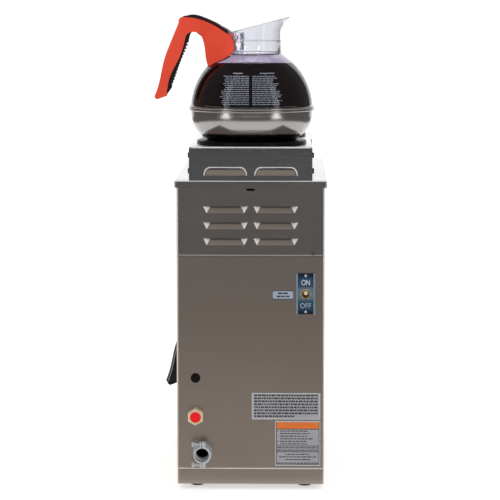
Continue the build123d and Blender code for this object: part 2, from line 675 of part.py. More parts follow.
with BuildPart() as toggle_body:
    with BuildSketch(rear_face(TOGGLE_X, TOGGLE_Z, -SHEET)):
        Rectangle(TOGGLE_BODY_WIDTH, TOGGLE_BODY_HEIGHT)
    extrude(amount=-TOGGLE_BODY_DEPTH)
    with BuildSketch(rear_face(TOGGLE_X, TOGGLE_Z, -SHEET)):
        Circle(BUSHING_RADIUS)
    extrude(amount=SHEET + BUSHING_OUT)
    with BuildSketch(rear_face(TOGGLE_X, TOGGLE_Z, LEVER_PIVOT_OUT - LEVER_BALL - SEAT_GAP)):
        Circle(BUSHING_BORE)
    extrude(amount=BUSHING_OUT, mode=Mode.SUBTRACT)
    with BuildSketch(rear_face(TOGGLE_X, TOGGLE_Z, LEVER_PIVOT_OUT)):
        Circle(BUSHING_BORE)
    with BuildSketch(rear_face(TOGGLE_X, TOGGLE_Z, BUSHING_OUT)):
        Circle(BUSHING_MOUTH)
    loft(mode=Mode.SUBTRACT)
toggle_body.part.label = "toggle_body"
export_step(toggle_body.part, "parts/toggle_body.step")

with BuildPart() as toggle_nut:
    with BuildSketch(rear_face(TOGGLE_X, TOGGLE_Z, TOGGLE_PLATE_THICK)):
        RegularPolygon(NUT_FLATS / 2, 6, major_radius=False)
        Circle(BUSHING_RADIUS + RUNNING_FIT, mode=Mode.SUBTRACT)
    extrude(amount=NUT_THICK)
toggle_nut.part.label = "toggle_nut"
export_step(toggle_nut.part, "parts/toggle_nut.step")

# The lever turns about a cross axis inside the bushing and rests tilted up
tilt = math.radians(LEVER_TILT)
lever_pivot = (BODY_X + TOGGLE_X, REAR_Y + LEVER_PIVOT_OUT, TOGGLE_Z)
lever_axis = Axis(lever_pivot, (0, math.cos(tilt), math.sin(tilt)))
lever_plane = Plane(
    origin=lever_pivot,
    x_dir=(0, -math.sin(tilt), math.cos(tilt)),
    z_dir=(1, 0, 0),
)
with BuildPart() as toggle_lever:
    with BuildSketch(lever_plane):
        with BuildLine():
            neck_start = -math.sqrt(LEVER_BALL**2 - LEVER_NECK**2)
            tip_start = LEVER_TIP - LEVER_LENGTH
            Line((0, LEVER_BALL), (0, -LEVER_LENGTH))
            ThreePointArc((0, LEVER_BALL), (LEVER_BALL, 0), (LEVER_NECK, neck_start))
            Line((LEVER_NECK, neck_start), (LEVER_TIP, tip_start))
            RadiusArc((LEVER_TIP, tip_start), (0, -LEVER_LENGTH), LEVER_TIP)
        make_face()
    revolve(axis=lever_axis)
toggle_lever.part.label = "toggle_lever"
export_step(toggle_lever.part, "parts/toggle_lever.step")

# Labels are thin plates with nothing raised on them
LABELS = (
    ("switch_label", SWITCH_LABEL_X, SWITCH_LABEL_Z, SWITCH_LABEL_WIDTH, SWITCH_LABEL_HEIGHT),
    ("notice_label", NOTICE_LABEL_X, NOTICE_LABEL_Z, NOTICE_LABEL_WIDTH, NOTICE_LABEL_HEIGHT),
    ("band_label", BAND_LABEL_X, BAND_LABEL_Z, BAND_LABEL_WIDTH, BAND_LABEL_HEIGHT),
)
for label_name, label_x, label_z, label_width, label_height in LABELS:
    with BuildPart() as label_plate:
        with BuildSketch(rear_face(label_x, label_z)):
            Rectangle(label_width, label_height)
        extrude(amount=LABEL_THICK)
    label_plate.part.label = label_name
    export_step(label_plate.part, f"parts/{label_name}.step")

with BuildPart() as hole_plug:
    with BuildSketch(rear_face(PLUG_X, PLUG_Z)):
        Circle(PLUG_RADIUS)
    extrude(amount=PLUG_OUT)
    fillet(hole_plug.faces().sort_by(Axis.Y)[-1].edges(), PLUG_OUT / 2)
    with BuildSketch(rear_face(PLUG_X, PLUG_Z)):
        Circle(PLUG_SHANK)
    extrude(amount=-3 * SHEET)
hole_plug.part.label = "hole_plug"
export_step(hole_plug.part, "parts/hole_plug.step")

# Water inlet: a hexagonal coupling with a socket for the supply line, closed by a push-in cap
with BuildPart() as inlet_fitting:
    with BuildSketch(rear_face(INLET_X, INLET_Z)):
        RegularPolygon(INLET_HEX_FLATS / 2, 6, major_radius=False, rotation=30)
    extrude(amount=INLET_HEX_OUT)
    chamfer(inlet_fitting.faces().sort_by(Axis.Y)[-1].edges(), INLET_HEX_EDGE)
    with BuildSketch(rear_face(INLET_X, INLET_Z)):
        Circle(INLET_SHANK)
    extrude(amount=-INLET_SHANK_LENGTH)
    with BuildSketch(rear_face(INLET_X, INLET_Z, INLET_HEX_OUT)):
        Circle(SOCKET_RADIUS)
    extrude(amount=-SOCKET_DEPTH, mode=Mode.SUBTRACT)
    with BuildSketch(rear_face(INLET_X, INLET_Z, INLET_HEX_OUT)):
        Circle(INLET_BORE)
    extrude(amount=-INLET_HEX_OUT - INLET_SHANK_LENGTH, mode=Mode.SUBTRACT)
inlet_fitting.part.label = "inlet_fitting"
export_step(inlet_fitting.part, "parts/inlet_fitting.step")

with BuildPart() as inlet_cap:
    with BuildSketch(rear_face(INLET_X, INLET_Z, INLET_HEX_OUT - SOCKET_DEPTH + SEAT_GAP)):
        Circle(SOCKET_RADIUS - RUNNING_FIT)
    extrude(amount=SOCKET_DEPTH - SEAT_GAP + CAP_PROUD)
    fillet(inlet_cap.faces().sort_by(Axis.Y)[-1].edges(), CAP_EDGE)
inlet_cap.part.label = "inlet_cap"
export_step(inlet_cap.part, "parts/inlet_cap.step")

# Cable clamp: a flanged stub with half a cradle, closed by a saddle and two screws
EAR_OUT = CLAMP_OUT - CLAMP_EAR_DEPTH
with BuildPart() as cable_clamp:
    with BuildSketch(rear_face(CLAMP_X, CLAMP_Z)):
        Circle(CLAMP_FLANGE)
    extrude(amount=CLAMP_FLANGE_THICK)
    with BuildSketch(rear_face(CLAMP_X, CLAMP_Z)):
        Circle(CLAMP_STUB)
    extrude(amount=-CLAMP_STUB_IN)
    with BuildSketch(rear_face(CLAMP_X, CLAMP_Z, CLAMP_FLANGE_THICK)):
        Circle(CRADLE_RADIUS)
        with Locations((-CRADLE_RADIUS, 0)):
            Rectangle(2 * CRADLE_RADIUS, 2 * CRADLE_RADIUS, mode=Mode.SUBTRACT)
    extrude(amount=CLAMP_OUT - CLAMP_FLANGE_THICK)
    with BuildSketch(rear_face(CLAMP_X, CLAMP_Z, EAR_OUT)):
        with Locations((CLAMP_EAR_THICK / 2, 0)):
            Rectangle(CLAMP_EAR_THICK, CLAMP_SCREW_PITCH + CLAMP_EAR_HEIGHT)
    extrude(amount=CLAMP_EAR_DEPTH)
    with BuildSketch(rear_face(CLAMP_X, CLAMP_Z, CLAMP_FLANGE_THICK)):
        Circle(CRADLE_BORE)
    extrude(amount=CLAMP_OUT - CLAMP_FLANGE_THICK, mode=Mode.SUBTRACT)
    with BuildSketch(rear_face(CLAMP_X, CLAMP_Z, CLAMP_FLANGE_THICK)):
        Circle(CLAMP_BORE)
    extrude(amount=-CLAMP_FLANGE_THICK - CLAMP_STUB_IN, mode=Mode.SUBTRACT)
    for side in (-1, 1):
        screw_z = CLAMP_Z + side * CLAMP_SCREW_PITCH / 2
        with BuildSketch(side_face(CLAMP_X, -(EAR_OUT + CLAMP_EAR_DEPTH / 2), screw_z)):
            Circle(CLAMP_SCREW_RADIUS + RUNNING_FIT)
        extrude(amount=-CLAMP_EAR_THICK, mode=Mode.SUBTRACT)
cable_clamp.part.label = "cable_clamp"
export_step(cable_clamp.part, "parts/cable_clamp.step")

with BuildPart() as clamp_saddle:
    with BuildSketch(rear_face(CLAMP_X, CLAMP_Z, EAR_OUT)):
        Circle(SADDLE_RADIUS)
        with Locations((-CLAMP_SPLIT - SADDLE_EAR_THICK / 2, 0)):
            Rectangle(SADDLE_EAR_THICK, CLAMP_SCREW_PITCH + CLAMP_EAR_HEIGHT)
        with Locations((SADDLE_RADIUS - CLAMP_SPLIT, 0)):
            Rectangle(2 * SADDLE_RADIUS, 3 * SADDLE_RADIUS, mode=Mode.SUBTRACT)
        Circle(CRADLE_BORE, mode=Mode.SUBTRACT)
    extrude(amount=CLAMP_EAR_DEPTH)
    for side in (-1, 1):
        screw_z = CLAMP_Z + side * CLAMP_SCREW_PITCH / 2
        with BuildSketch(side_face(CLAMP_X, -(EAR_OUT + CLAMP_EAR_DEPTH / 2), screw_z)):
            Circle(CLAMP_SCREW_RADIUS + RUNNING_FIT)
        extrude(amount=CLAMP_SPLIT + SADDLE_EAR_THICK, mode=Mode.SUBTRACT)
clamp_saddle.part.label = "clamp_saddle"
export_step(clamp_saddle.part, "parts/clamp_saddle.step")

with BuildPart() as clamp_screws:
    for side in (-1, 1):
        screw_z = CLAMP_Z + side * CLAMP_SCREW_PITCH / 2
        screw_start = CLAMP_X - CLAMP_EAR_THICK
        screw_middle = -(EAR_OUT + CLAMP_EAR_DEPTH / 2)
        with BuildSketch(side_face(screw_start, screw_middle, screw_z)):
            Circle(CLAMP_SCREW_RADIUS)
        extrude(amount=CLAMP_SCREW_LENGTH)
        with BuildSketch(side_face(screw_start + CLAMP_SCREW_LENGTH, screw_middle, screw_z)):
            Circle(CLAMP_SCREW_HEAD)
        extrude(amount=-CLAMP_SCREW_HEAD_THICK)
clamp_screws.part.label = "clamp_screws"
export_step(clamp_screws.part, "parts/clamp_screws.step")

# Screws through both sides of the warmer box, and one by the hood's lower edge
with BuildPart() as housing_screws:
    for side in (-1, 1):
        for depth in BOX_SCREW_DEPTHS:
            for height in BOX_SCREW_HEIGHTS:
                with BuildSketch(side_face(side * BOX_WIDTH / 2, depth, height)):
                    Circle(SCREW_HEAD)
                extrude(amount=side * SCREW_HEAD_THICK)
                with BuildSketch(side_face(side * BOX_WIDTH / 2, depth, height)):
                    Circle(SCREW_RADIUS)
                extrude(amount=-side * SCREW_LENGTH)
    with BuildSketch(rear_face(HOOD_SCREW_X, HEAD_BOTTOM + HOOD_SCREW_RISE)):
        Circle(SCREW_RADIUS + SHEET / 2)
    extrude(amount=SHEET)
    with BuildSketch(rear_face(HOOD_SCREW_X, HEAD_BOTTOM + HOOD_SCREW_RISE)):
        Circle(SCREW_RADIUS)
    extrude(amount=-SCREW_LENGTH)
housing_screws.part.label = "housing_screws"
export_step(housing_screws.part, "parts/housing_screws.step")

# Rails that carry the funnel's rim under the head, folded as channels that open inwards
with BuildPart() as funnel_rails:
    for side in (-1, 1):
        web = side * (FUNNEL_RIM + SEAT_GAP + SHEET / 2)
        shelf = side * (FUNNEL_RIM + SEAT_GAP + SHEET - RAIL_SHELF / 2)
        lip = side * (FUNNEL_RIM + SEAT_GAP + SHEET - RAIL_LIP / 2)
        rail_middle = HEAD_DEPTH - RAIL_LENGTH / 2
        with BuildSketch(level(RAIL_SEAT - SHEET, web, rail_middle)):
            Rectangle(SHEET, RAIL_LENGTH)
        extrude(amount=RAIL_TOP - RAIL_SEAT + SHEET)
        with BuildSketch(level(RAIL_TOP, shelf, rail_middle)):
            Rectangle(RAIL_SHELF, RAIL_LENGTH)
        extrude(amount=-SHEET)
        with BuildSketch(level(RAIL_SEAT, lip, rail_middle)):
            Rectangle(RAIL_LIP, RAIL_LENGTH)
        extrude(amount=-SHEET)
funnel_rails.part.label = "funnel_rails"
export_step(funnel_rails.part, "parts/funnel_rails.step")

with BuildPart() as spray_head:
    with BuildSketch(level(FLOOR_BOTTOM, depth=LOWER_WARMER_DEPTH)):
        Circle(SPRAY_RADIUS)
    extrude(amount=-SPRAY_THICK)
    chamfer(spray_head.faces().sort_by(Axis.Z)[0].edges(), SPRAY_THICK / 2)
    with BuildSketch(level(FLOOR_BOTTOM, depth=LOWER_WARMER_DEPTH)):
        Circle(SPRAY_STEM)
    extrude(amount=SPRAY_STEM_RISE)
    with BuildSketch(level(FLOOR_BOTTOM + SPRAY_STEM_RISE, depth=LOWER_WARMER_DEPTH)):
        Circle(SPRAY_TUBE_BORE)
    extrude(amount=-SPRAY_STEM_RISE - SPRAY_THICK / 2, mode=Mode.SUBTRACT)
    with BuildSketch(level(FLOOR_BOTTOM - SPRAY_THICK, depth=LOWER_WARMER_DEPTH)):
        with PolarLocations(SPRAY_HOLE_CIRCLE, SPRAY_HOLES):
            Circle(SPRAY_HOLE)
    extrude(amount=SPRAY_THICK / 2, mode=Mode.SUBTRACT)
spray_head.part.label = "spray_head"
export_step(spray_head.part, "parts/spray_head.step")

# Brew funnel: a plastic basket with a rim that runs in the rails
funnel_plane = front_face(0, 0, LOWER_WARMER_DEPTH)
funnel_axis = Axis((BODY_X, REAR_Y - LOWER_WARMER_DEPTH, 0), (0, 0, 1))
RIM_BOTTOM = FUNNEL_TOP - FUNNEL_RIM_THICK
FUNNEL_OUTSIDE = (
    (FUNNEL_SHOULDER, RIM_BOTTOM),
    (FUNNEL_KNEE, FUNNEL_KNEE_Z),
    (FUNNEL_THROAT, FUNNEL_THROAT_Z),
    (FUNNEL_NOZZLE, FUNNEL_THROAT_Z),
    (FUNNEL_NOZZLE, FUNNEL_BOTTOM),
)
with BuildPart() as funnel:
    with BuildSketch(funnel_plane):
        Polygon(
            (0, FUNNEL_TOP),
            (FUNNEL_RIM, FUNNEL_TOP),
            (FUNNEL_RIM, RIM_BOTTOM),
            *FUNNEL_OUTSIDE,
            (0, FUNNEL_BOTTOM),
            align=None,
        )
    revolve(axis=funnel_axis)
    with BuildSketch(funnel_plane):
        Polygon(
            (0, FUNNEL_TOP),
            (FUNNEL_SHOULDER - FUNNEL_WALL, FUNNEL_TOP),
            (FUNNEL_KNEE - FUNNEL_WALL, FUNNEL_KNEE_Z + FUNNEL_WALL),
            (FUNNEL_THROAT - FUNNEL_WALL, FUNNEL_THROAT_Z + FUNNEL_WALL),
            (0, FUNNEL_THROAT_Z + FUNNEL_WALL),
            align=None,
        )
    revolve(axis=funnel_axis, mode=Mode.SUBTRACT)
    with BuildSketch(level(FUNNEL_BOTTOM, depth=LOWER_WARMER_DEPTH)):
        Circle(FUNNEL_DRIP)
    extrude(amount=FUNNEL_THROAT_Z - FUNNEL_BOTTOM + FUNNEL_WALL, mode=Mode.SUBTRACT)
funnel.part.label = "funnel"
export_step(funnel.part, "parts/funnel.step")

# Handle that stands out in front of the funnel, cut to the funnel's own cone
FUNNEL_FRONT = LOWER_WARMER_DEPTH + FUNNEL_KNEE - FUNNEL_WALL
HANDLE_FRONT = LOWER_WARMER_DEPTH + FUNNEL_RIM + HANDLE_REACH
handle_top = [(inward - HANDLE_FRONT, RIM_BOTTOM - drop) for inward, drop in HANDLE_TOP]
handle_hollow = (HANDLE_HOLLOW[0] - HANDLE_FRONT, RIM_BOTTOM - HANDLE_HOLLOW[1])
root_top = (-FUNNEL_FRONT, RIM_BOTTOM - HANDLE_ROOT_TOP)
root_bottom = (-FUNNEL_FRONT, RIM_BOTTOM - HANDLE_ROOT_BOTTOM)
with BuildPart() as funnel_handle:
    with BuildSketch(side_face(0, 0, 0)):
        with BuildLine():
            Polyline(root_top, *handle_top)
            Spline(handle_top[-1], handle_hollow, root_bottom)
            Line(root_bottom, root_top)
        make_face()
    extrude(amount=HANDLE_WIDTH / 2, both=True)
    front_edges = funnel_handle.edges().filter_by(GeomType.LINE).group_by(Axis.Y)[0]
    fillet(front_edges.filter_by(Axis.X), HANDLE_ROUND)
    with BuildSketch(funnel_plane):
        Polygon((0, RIM_BOTTOM), *FUNNEL_OUTSIDE[:2], (0, FUNNEL_KNEE_Z), align=None)
    revolve(axis=funnel_axis, mode=Mode.SUBTRACT)
funnel_handle.part.label = "funnel_handle"
export_step(funnel_handle.part, "parts/funnel_handle.step")

# Wire rack that holds the paper filter off the funnel's wall
rack_top = FUNNEL_TOP - RACK_TOP_DROP
rack_bottom = FUNNEL_KNEE_Z + FUNNEL_WALL + RACK_RING_HEIGHT
rack_radius = FUNNEL_KNEE - FUNNEL_WALL - SEAT_GAP - RACK_RING_WIDTH
with BuildPart() as funnel_rack:
    for ring_z in (rack_top, rack_bottom):
        with BuildSketch(level(ring_z, depth=LOWER_WARMER_DEPTH)):
            Circle(rack_radius + RACK_RING_WIDTH)
            Circle(rack_radius, mode=Mode.SUBTRACT)
        extrude(amount=-RACK_RING_HEIGHT)
    with BuildSketch(level(rack_bottom - RACK_RING_HEIGHT / 2, depth=LOWER_WARMER_DEPTH)):
        with PolarLocations(rack_radius + RACK_RING_WIDTH / 2, RACK_WIRES):
            Rectangle(RACK_WIRE, RACK_WIRE)
    extrude(amount=rack_top - rack_bottom)
    with BuildSketch(level(rack_bottom - RACK_RING_HEIGHT, depth=LOWER_WARMER_DEPTH)):
        for turn in range(RACK_WIRES // 2):
            Rectangle(2 * rack_radius + RACK_RING_WIDTH, RACK_WIRE, rotation=turn * 360 / RACK_WIRES)
    extrude(amount=RACK_WIRE)
funnel_rack.part.label = "funnel_rack"
export_step(funnel_rack.part, "parts/funnel_rack.step")

# Frames of the four rocker switches, and the ready lamp
with BuildPart() as switch_frames:
    for x in ROCKER_XS:
        with BuildSketch(front_face(x, ROCKER_Z, HEAD_DEPTH)):
            Rectangle(FRAME_WIDTH + 2 * FRAME_BEZEL, FRAME_HEIGHT + 2 * FRAME_BEZEL)
        extrude(amount=FRAME_BEZEL_THICK)
        with BuildSketch(front_face(x, ROCKER_Z, HEAD_DEPTH)):
            Rectangle(FRAME_WIDTH, FRAME_HEIGHT)
        extrude(amount=-FRAME_DEPTH)
        with BuildSketch(front_face(x, ROCKER_Z, HEAD_DEPTH + FRAME_BEZEL_THICK)):
            Rectangle(FRAME_INNER_WIDTH, FRAME_INNER_HEIGHT)
        extrude(amount=-FRAME_DEPTH - FRAME_BEZEL_THICK + FRAME_BACK, mode=Mode.SUBTRACT)
        with BuildSketch(side_face(x, HEAD_DEPTH + FRAME_BEZEL_THICK - PIVOT_SET_BACK, ROCKER_Z)):
            Circle(ROCKER_PIN + RUNNING_FIT)
        extrude(amount=ROCKER_WIDTH / 2 + ROCKER_PIN_OUT + RUNNING_FIT, both=True, mode=Mode.SUBTRACT)
switch_frames.part.label = "switch_frames"
export_step(switch_frames.part, "parts/switch_frames.step")


def rocker(name, x, rest_angle):
    """Rocker paddle on two stub pins, turned about its pivot by its rest angle."""
    pivot = (BODY_X + x, REAR_Y - HEAD_DEPTH - FRAME_BEZEL_THICK + PIVOT_SET_BACK, ROCKER_Z)
    lean = math.radians(rest_angle)
    plane = Plane(origin=pivot, x_dir=(0, math.cos(lean), math.sin(lean)), z_dir=(1, 0, 0))
    with BuildPart() as paddle:
        with BuildSketch(plane):
            Polygon(
                (-ROCKER_FRONT, ROCKER_HEIGHT / 2),
                (-ROCKER_VALLEY, 0),
                (-ROCKER_FRONT, -ROCKER_HEIGHT / 2),
                (ROCKER_BACK, -ROCKER_HEIGHT / 2),
                (ROCKER_BACK, ROCKER_HEIGHT / 2),
                align=None,
            )
        extrude(amount=ROCKER_WIDTH / 2, both=True)
        with BuildSketch(plane):
            Circle(ROCKER_PIN)
        extrude(amount=ROCKER_WIDTH / 2 + ROCKER_PIN_OUT, both=True)
    paddle.part.label = name
    export_step(paddle.part, f"parts/{name}.step")


rocker("start_rocker", ROCKER_XS[0], 0.0)
rocker("rear_warmer_rocker", ROCKER_XS[1], ROCKER_THROW)
rocker("front_warmer_rocker", ROCKER_XS[2], ROCKER_THROW)
rocker("lower_warmer_rocker", ROCKER_XS[3], ROCKER_THROW)

with BuildPart() as ready_lamp:
    with BuildSketch(front_face(LAMP_X, ROCKER_Z, HEAD_DEPTH)):
        Circle(LAMP_RADIUS)
    extrude(amount=LAMP_OUT)
    fillet(ready_lamp.faces().sort_by(Axis.Y)[0].edges(), LAMP_EDGE)
    with BuildSketch(front_face(LAMP_X, ROCKER_Z, HEAD_DEPTH)):
        Circle(LAMP_STEM)
    extrude(amount=-LAMP_DEPTH)
ready_lamp.part.label = "ready_lamp"
export_step(ready_lamp.part, "parts/ready_lamp.step")

# Water tank on four short legs inside the trunk
with BuildPart() as tank:
    with BuildSketch(level(TANK_BOTTOM, depth=TANK_MIDDLE)):
        RectangleRounded(TANK_WIDTH, TANK_DEPTH, TANK_CORNER)
    extrude(amount=TANK_HEIGHT)
    offset(amount=-TANK_WALL, openings=tank.faces().sort_by(Axis.Z)[-1])
    with BuildSketch(level(BASE_TOP, depth=TANK_MIDDLE)):
        with GridLocations(TANK_WIDTH - 2 * TANK_CORNER, TANK_DEPTH - 2 * TANK_CORNER, 2, 2):
            Circle(TANK_LEG_RADIUS)
    extrude(amount=TANK_LEG)
tank.part.label = "tank"
export_step(tank.part, "parts/tank.step")

TANK_LID_HOLES = (
    (-HEATER_SPAN / 2, HEATER_DEPTH, HEATER_TUBE),
    (HEATER_SPAN / 2, HEATER_DEPTH, HEATER_TUBE),
    (PROBE_X, PROBE_DEPTH, PROBE_RADIUS),
)
with BuildPart() as tank_lid:
    with BuildSketch(level(TANK_TOP, depth=TANK_MIDDLE)):
        RectangleRounded(
            TANK_WIDTH + 2 * TANK_LID_LIP,
            TANK_DEPTH + 2 * TANK_LID_LIP,
            TANK_CORNER + TANK_LID_LIP,
        )
    extrude(amount=TANK_LID_THICK)
    for x, depth, radius in TANK_LID_HOLES:
        with BuildSketch(level(TANK_TOP, x, depth)):
            Circle(radius + RUNNING_FIT)
        extrude(amount=TANK_LID_THICK, mode=Mode.SUBTRACT)
tank_lid.part.label = "tank_lid"
export_step(tank_lid.part, "parts/tank_lid.step")

# Immersion heater: a hairpin tube that hangs from the tank's lid, with a collar on each leg
with BuildPart() as tank_heater:
    with BuildLine() as hairpin:
        FilletPolyline(
            (BODY_X - HEATER_SPAN / 2, REAR_Y - HEATER_DEPTH, TANK_LID_TOP + HEATER_POST),
            (BODY_X - HEATER_SPAN / 2, REAR_Y - HEATER_DEPTH, TANK_LID_TOP - HEATER_DROP),
            (BODY_X + HEATER_SPAN / 2, REAR_Y - HEATER_DEPTH, TANK_LID_TOP - HEATER_DROP),
            (BODY_X + HEATER_SPAN / 2, REAR_Y - HEATER_DEPTH, TANK_LID_TOP + HEATER_POST),
            radius=HEATER_SPAN / 2 - HEATER_TUBE,
        )
    with BuildSketch(level(TANK_LID_TOP + HEATER_POST, -HEATER_SPAN / 2, HEATER_DEPTH)):
        Circle(HEATER_TUBE)
    sweep(path=hairpin.line)
    for side in (-1, 1):
        with BuildSketch(level(TANK_LID_TOP, side * HEATER_SPAN / 2, HEATER_DEPTH)):
            Circle(2 * HEATER_TUBE)
        extrude(amount=HEATER_TUBE)
tank_heater.part.label = "tank_heater"
export_step(tank_heater.part, "parts/tank_heater.step")

with BuildPart() as thermostat_probe:
    with BuildSketch(level(TANK_LID_TOP, PROBE_X, PROBE_DEPTH)):
        Circle(PROBE_RADIUS)
    extrude(amount=-PROBE_DROP)
    with BuildSketch(level(TANK_LID_TOP, PROBE_X, PROBE_DEPTH)):
        RegularPolygon(PROBE_HEAD, 6)
    extrude(amount=PROBE_HEAD_RISE)
thermostat_probe.part.label = "thermostat_probe"
export_step(thermostat_probe.part, "parts/thermostat_probe.step")

# Tube from the tank's lid, over the head floor, down to the spray head's stem
SPRAY_JOINT = FLOOR_BOTTOM + SPRAY_STEM_RISE
with BuildPart() as spray_tube:
    with BuildLine() as spray_path:
        FilletPolyline(
            (BODY_X, REAR_Y - SPRAY_TUBE_DEPTH, TANK_LID_TOP),
            (BODY_X, REAR_Y - SPRAY_TUBE_DEPTH, SPRAY_TUBE_TOP),
            (BODY_X, REAR_Y - LOWER_WARMER_DEPTH, SPRAY_TUBE_TOP),
            (BODY_X, REAR_Y - LOWER_WARMER_DEPTH, SPRAY_JOINT),
            radius=SPRAY_TUBE_TURN,
        )
    with BuildSketch(level(TANK_LID_TOP, depth=SPRAY_TUBE_DEPTH)):
        Circle(SPRAY_TUBE_RADIUS)
        Circle(SPRAY_TUBE_BORE, mode=Mode.SUBTRACT)
    sweep(path=spray_path.line)
spray_tube.part.label = "spray_tube"
export_step(spray_tube.part, "parts/spray_tube.step")

# Inlet valve behind the water fitting, with its coil towards the tank
VALVE_MIDDLE = SHEET + VALVE_DEPTH / 2
with BuildPart() as inlet_valve:
    with BuildSketch(rear_face(INLET_X, INLET_Z, -SHEET)):
        Rectangle(VALVE_WIDTH, VALVE_HEIGHT)
    extrude(amount=-VALVE_DEPTH)
    with BuildSketch(rear_face(INLET_X, INLET_Z, -SHEET)):
        Circle(INLET_SHANK + RUNNING_FIT)
    extrude(amount=-INLET_SHANK_LENGTH + SHEET - SEAT_GAP, mode=Mode.SUBTRACT)
    with BuildSketch(rear_face(INLET_X, INLET_Z, -SHEET - VALVE_DEPTH)):
        Circle(COIL_RADIUS)
    extrude(amount=-COIL_LENGTH)
    with BuildSketch(level(INLET_Z + VALVE_HEIGHT / 2, INLET_X, VALVE_MIDDLE)):
        Circle(VALVE_OUTLET)
    extrude(amount=VALVE_OUTLET_RISE)
inlet_valve.part.label = "inlet_valve"
export_step(inlet_valve.part, "parts/inlet_valve.step")

VALVE_OUTLET_TOP = INLET_Z + VALVE_HEIGHT / 2 + VALVE_OUTLET_RISE
with BuildPart() as inlet_tube:
    with BuildLine() as inlet_path:
        FilletPolyline(
            (BODY_X + INLET_X, REAR_Y - VALVE_MIDDLE, VALVE_OUTLET_TOP),
            (BODY_X + INLET_X, REAR_Y - VALVE_MIDDLE, INLET_TUBE_TOP),
            (BODY_X + INLET_TUBE_X, REAR_Y - INLET_TUBE_DEPTH, INLET_TUBE_TOP),
            (BODY_X + INLET_TUBE_X, REAR_Y - INLET_TUBE_DEPTH, TANK_LID_TOP),
            radius=INLET_TUBE_TURN,
        )
    with BuildSketch(level(VALVE_OUTLET_TOP, INLET_X, VALVE_MIDDLE)):
        Circle(INLET_TUBE_RADIUS)
    sweep(path=inlet_path.line)
inlet_tube.part.label = "inlet_tube"
export_step(inlet_tube.part, "parts/inlet_tube.step")

# Control board on posts behind the front panel
BOARD_MIDDLE = HEAD_DEPTH - FLANGE - BOARD_DEPTH / 2
BOARD_BOTTOM = FLOOR_TOP + BOARD_RISE
with BuildPart() as control_board:
    with BuildSketch(level(BOARD_BOTTOM, depth=BOARD_MIDDLE)):
        Rectangle(BOARD_WIDTH, BOARD_DEPTH)
    extrude(amount=BOARD_THICK)
    with BuildSketch(level(FLOOR_TOP, depth=BOARD_MIDDLE)):
        with GridLocations(BOARD_WIDTH - 2 * BOARD_MARGIN, BOARD_DEPTH - 2 * BOARD_MARGIN, 2, 2):
            Circle(BOARD_POST)
    extrude(amount=BOARD_RISE)
    with BuildSketch(level(BOARD_BOTTOM + BOARD_THICK, depth=BOARD_MIDDLE)):
        with GridLocations(2 * BOARD_RELAY, 0, 4, 1):
            Rectangle(BOARD_RELAY, 2 * BOARD_RELAY)
    extrude(amount=BOARD_RELAY)
control_board.part.label = "control_board"
export_step(control_board.part, "parts/control_board.step")


def arc_centre(start, end, radius):
    """Centre of the arc from start up to end that bulges away from the decanter's axis."""
    half = math.dist(start, end) / 2
    back = math.sqrt(radius**2 - half**2)
    run, rise = end[0] - start[0], end[1] - start[1]
    middle_x, middle_z = (start[0] + end[0]) / 2, (start[1] + end[1]) / 2
    return (middle_x - rise * back / (2 * half), middle_z + run * back / (2 * half))


def reach_at(centre, radius, height):
    """Distance from the axis of such an arc at a height."""
    return centre[0] + math.sqrt(radius**2 - (height - centre[1]) ** 2)


def side_arc(centre, radius, start, end):
    """Arc of the bowl's or dome's side between two heights, drawn into the open line."""
    heights = (start, (start + end) / 2, end)
    return ThreePointArc(*[(reach_at(centre, radius, height), height) for height in heights])


def slanted(back, front, front_x):
    """Plane across the neck through one height at its back and one at its front, with its stretch."""
    angle = math.degrees(math.atan((front - back) / (NECK_RADIUS + front_x)))
    height = NECK_BOTTOM + back + NECK_RADIUS * math.tan(math.radians(angle))
    return Plane.XY.offset(height).rotated((0, angle, 0)), 1 / math.cos(math.radians(angle))


def round_neck(plane, half_length, half_width):
    """Round neck cut by a slanted plane."""
    with BuildSketch(plane) as outline:
        with BuildLine():
            EllipticalCenterArc((0, 0), half_length, half_width, start_angle=-90, arc_size=180)
            EllipticalCenterArc((0, 0), half_length, half_width, start_angle=90, arc_size=180)
        make_face()
    return outline.sketch


def spouted_neck(plane, back, side, front):
    """Rim on a slanted plane: half an ellipse at the back and a pouring lip in front."""
    lip = [
        (0, side),
        (-SPOUT_SHOULDER_AT * front, SPOUT_SHOULDER * side),
        (-SPOUT_LIP_AT * front, SPOUT_LIP * side),
        (-front, 0),
    ]
    with BuildSketch(plane) as outline:
        with BuildLine():
            EllipticalCenterArc((0, 0), back, side, start_angle=-90, arc_size=180)
            Spline(*lip, *[(x, -y) for x, y in reversed(lip[:-1])], tangents=((-1, 0), (1, 0)))
        make_face()
    return outline.sketch


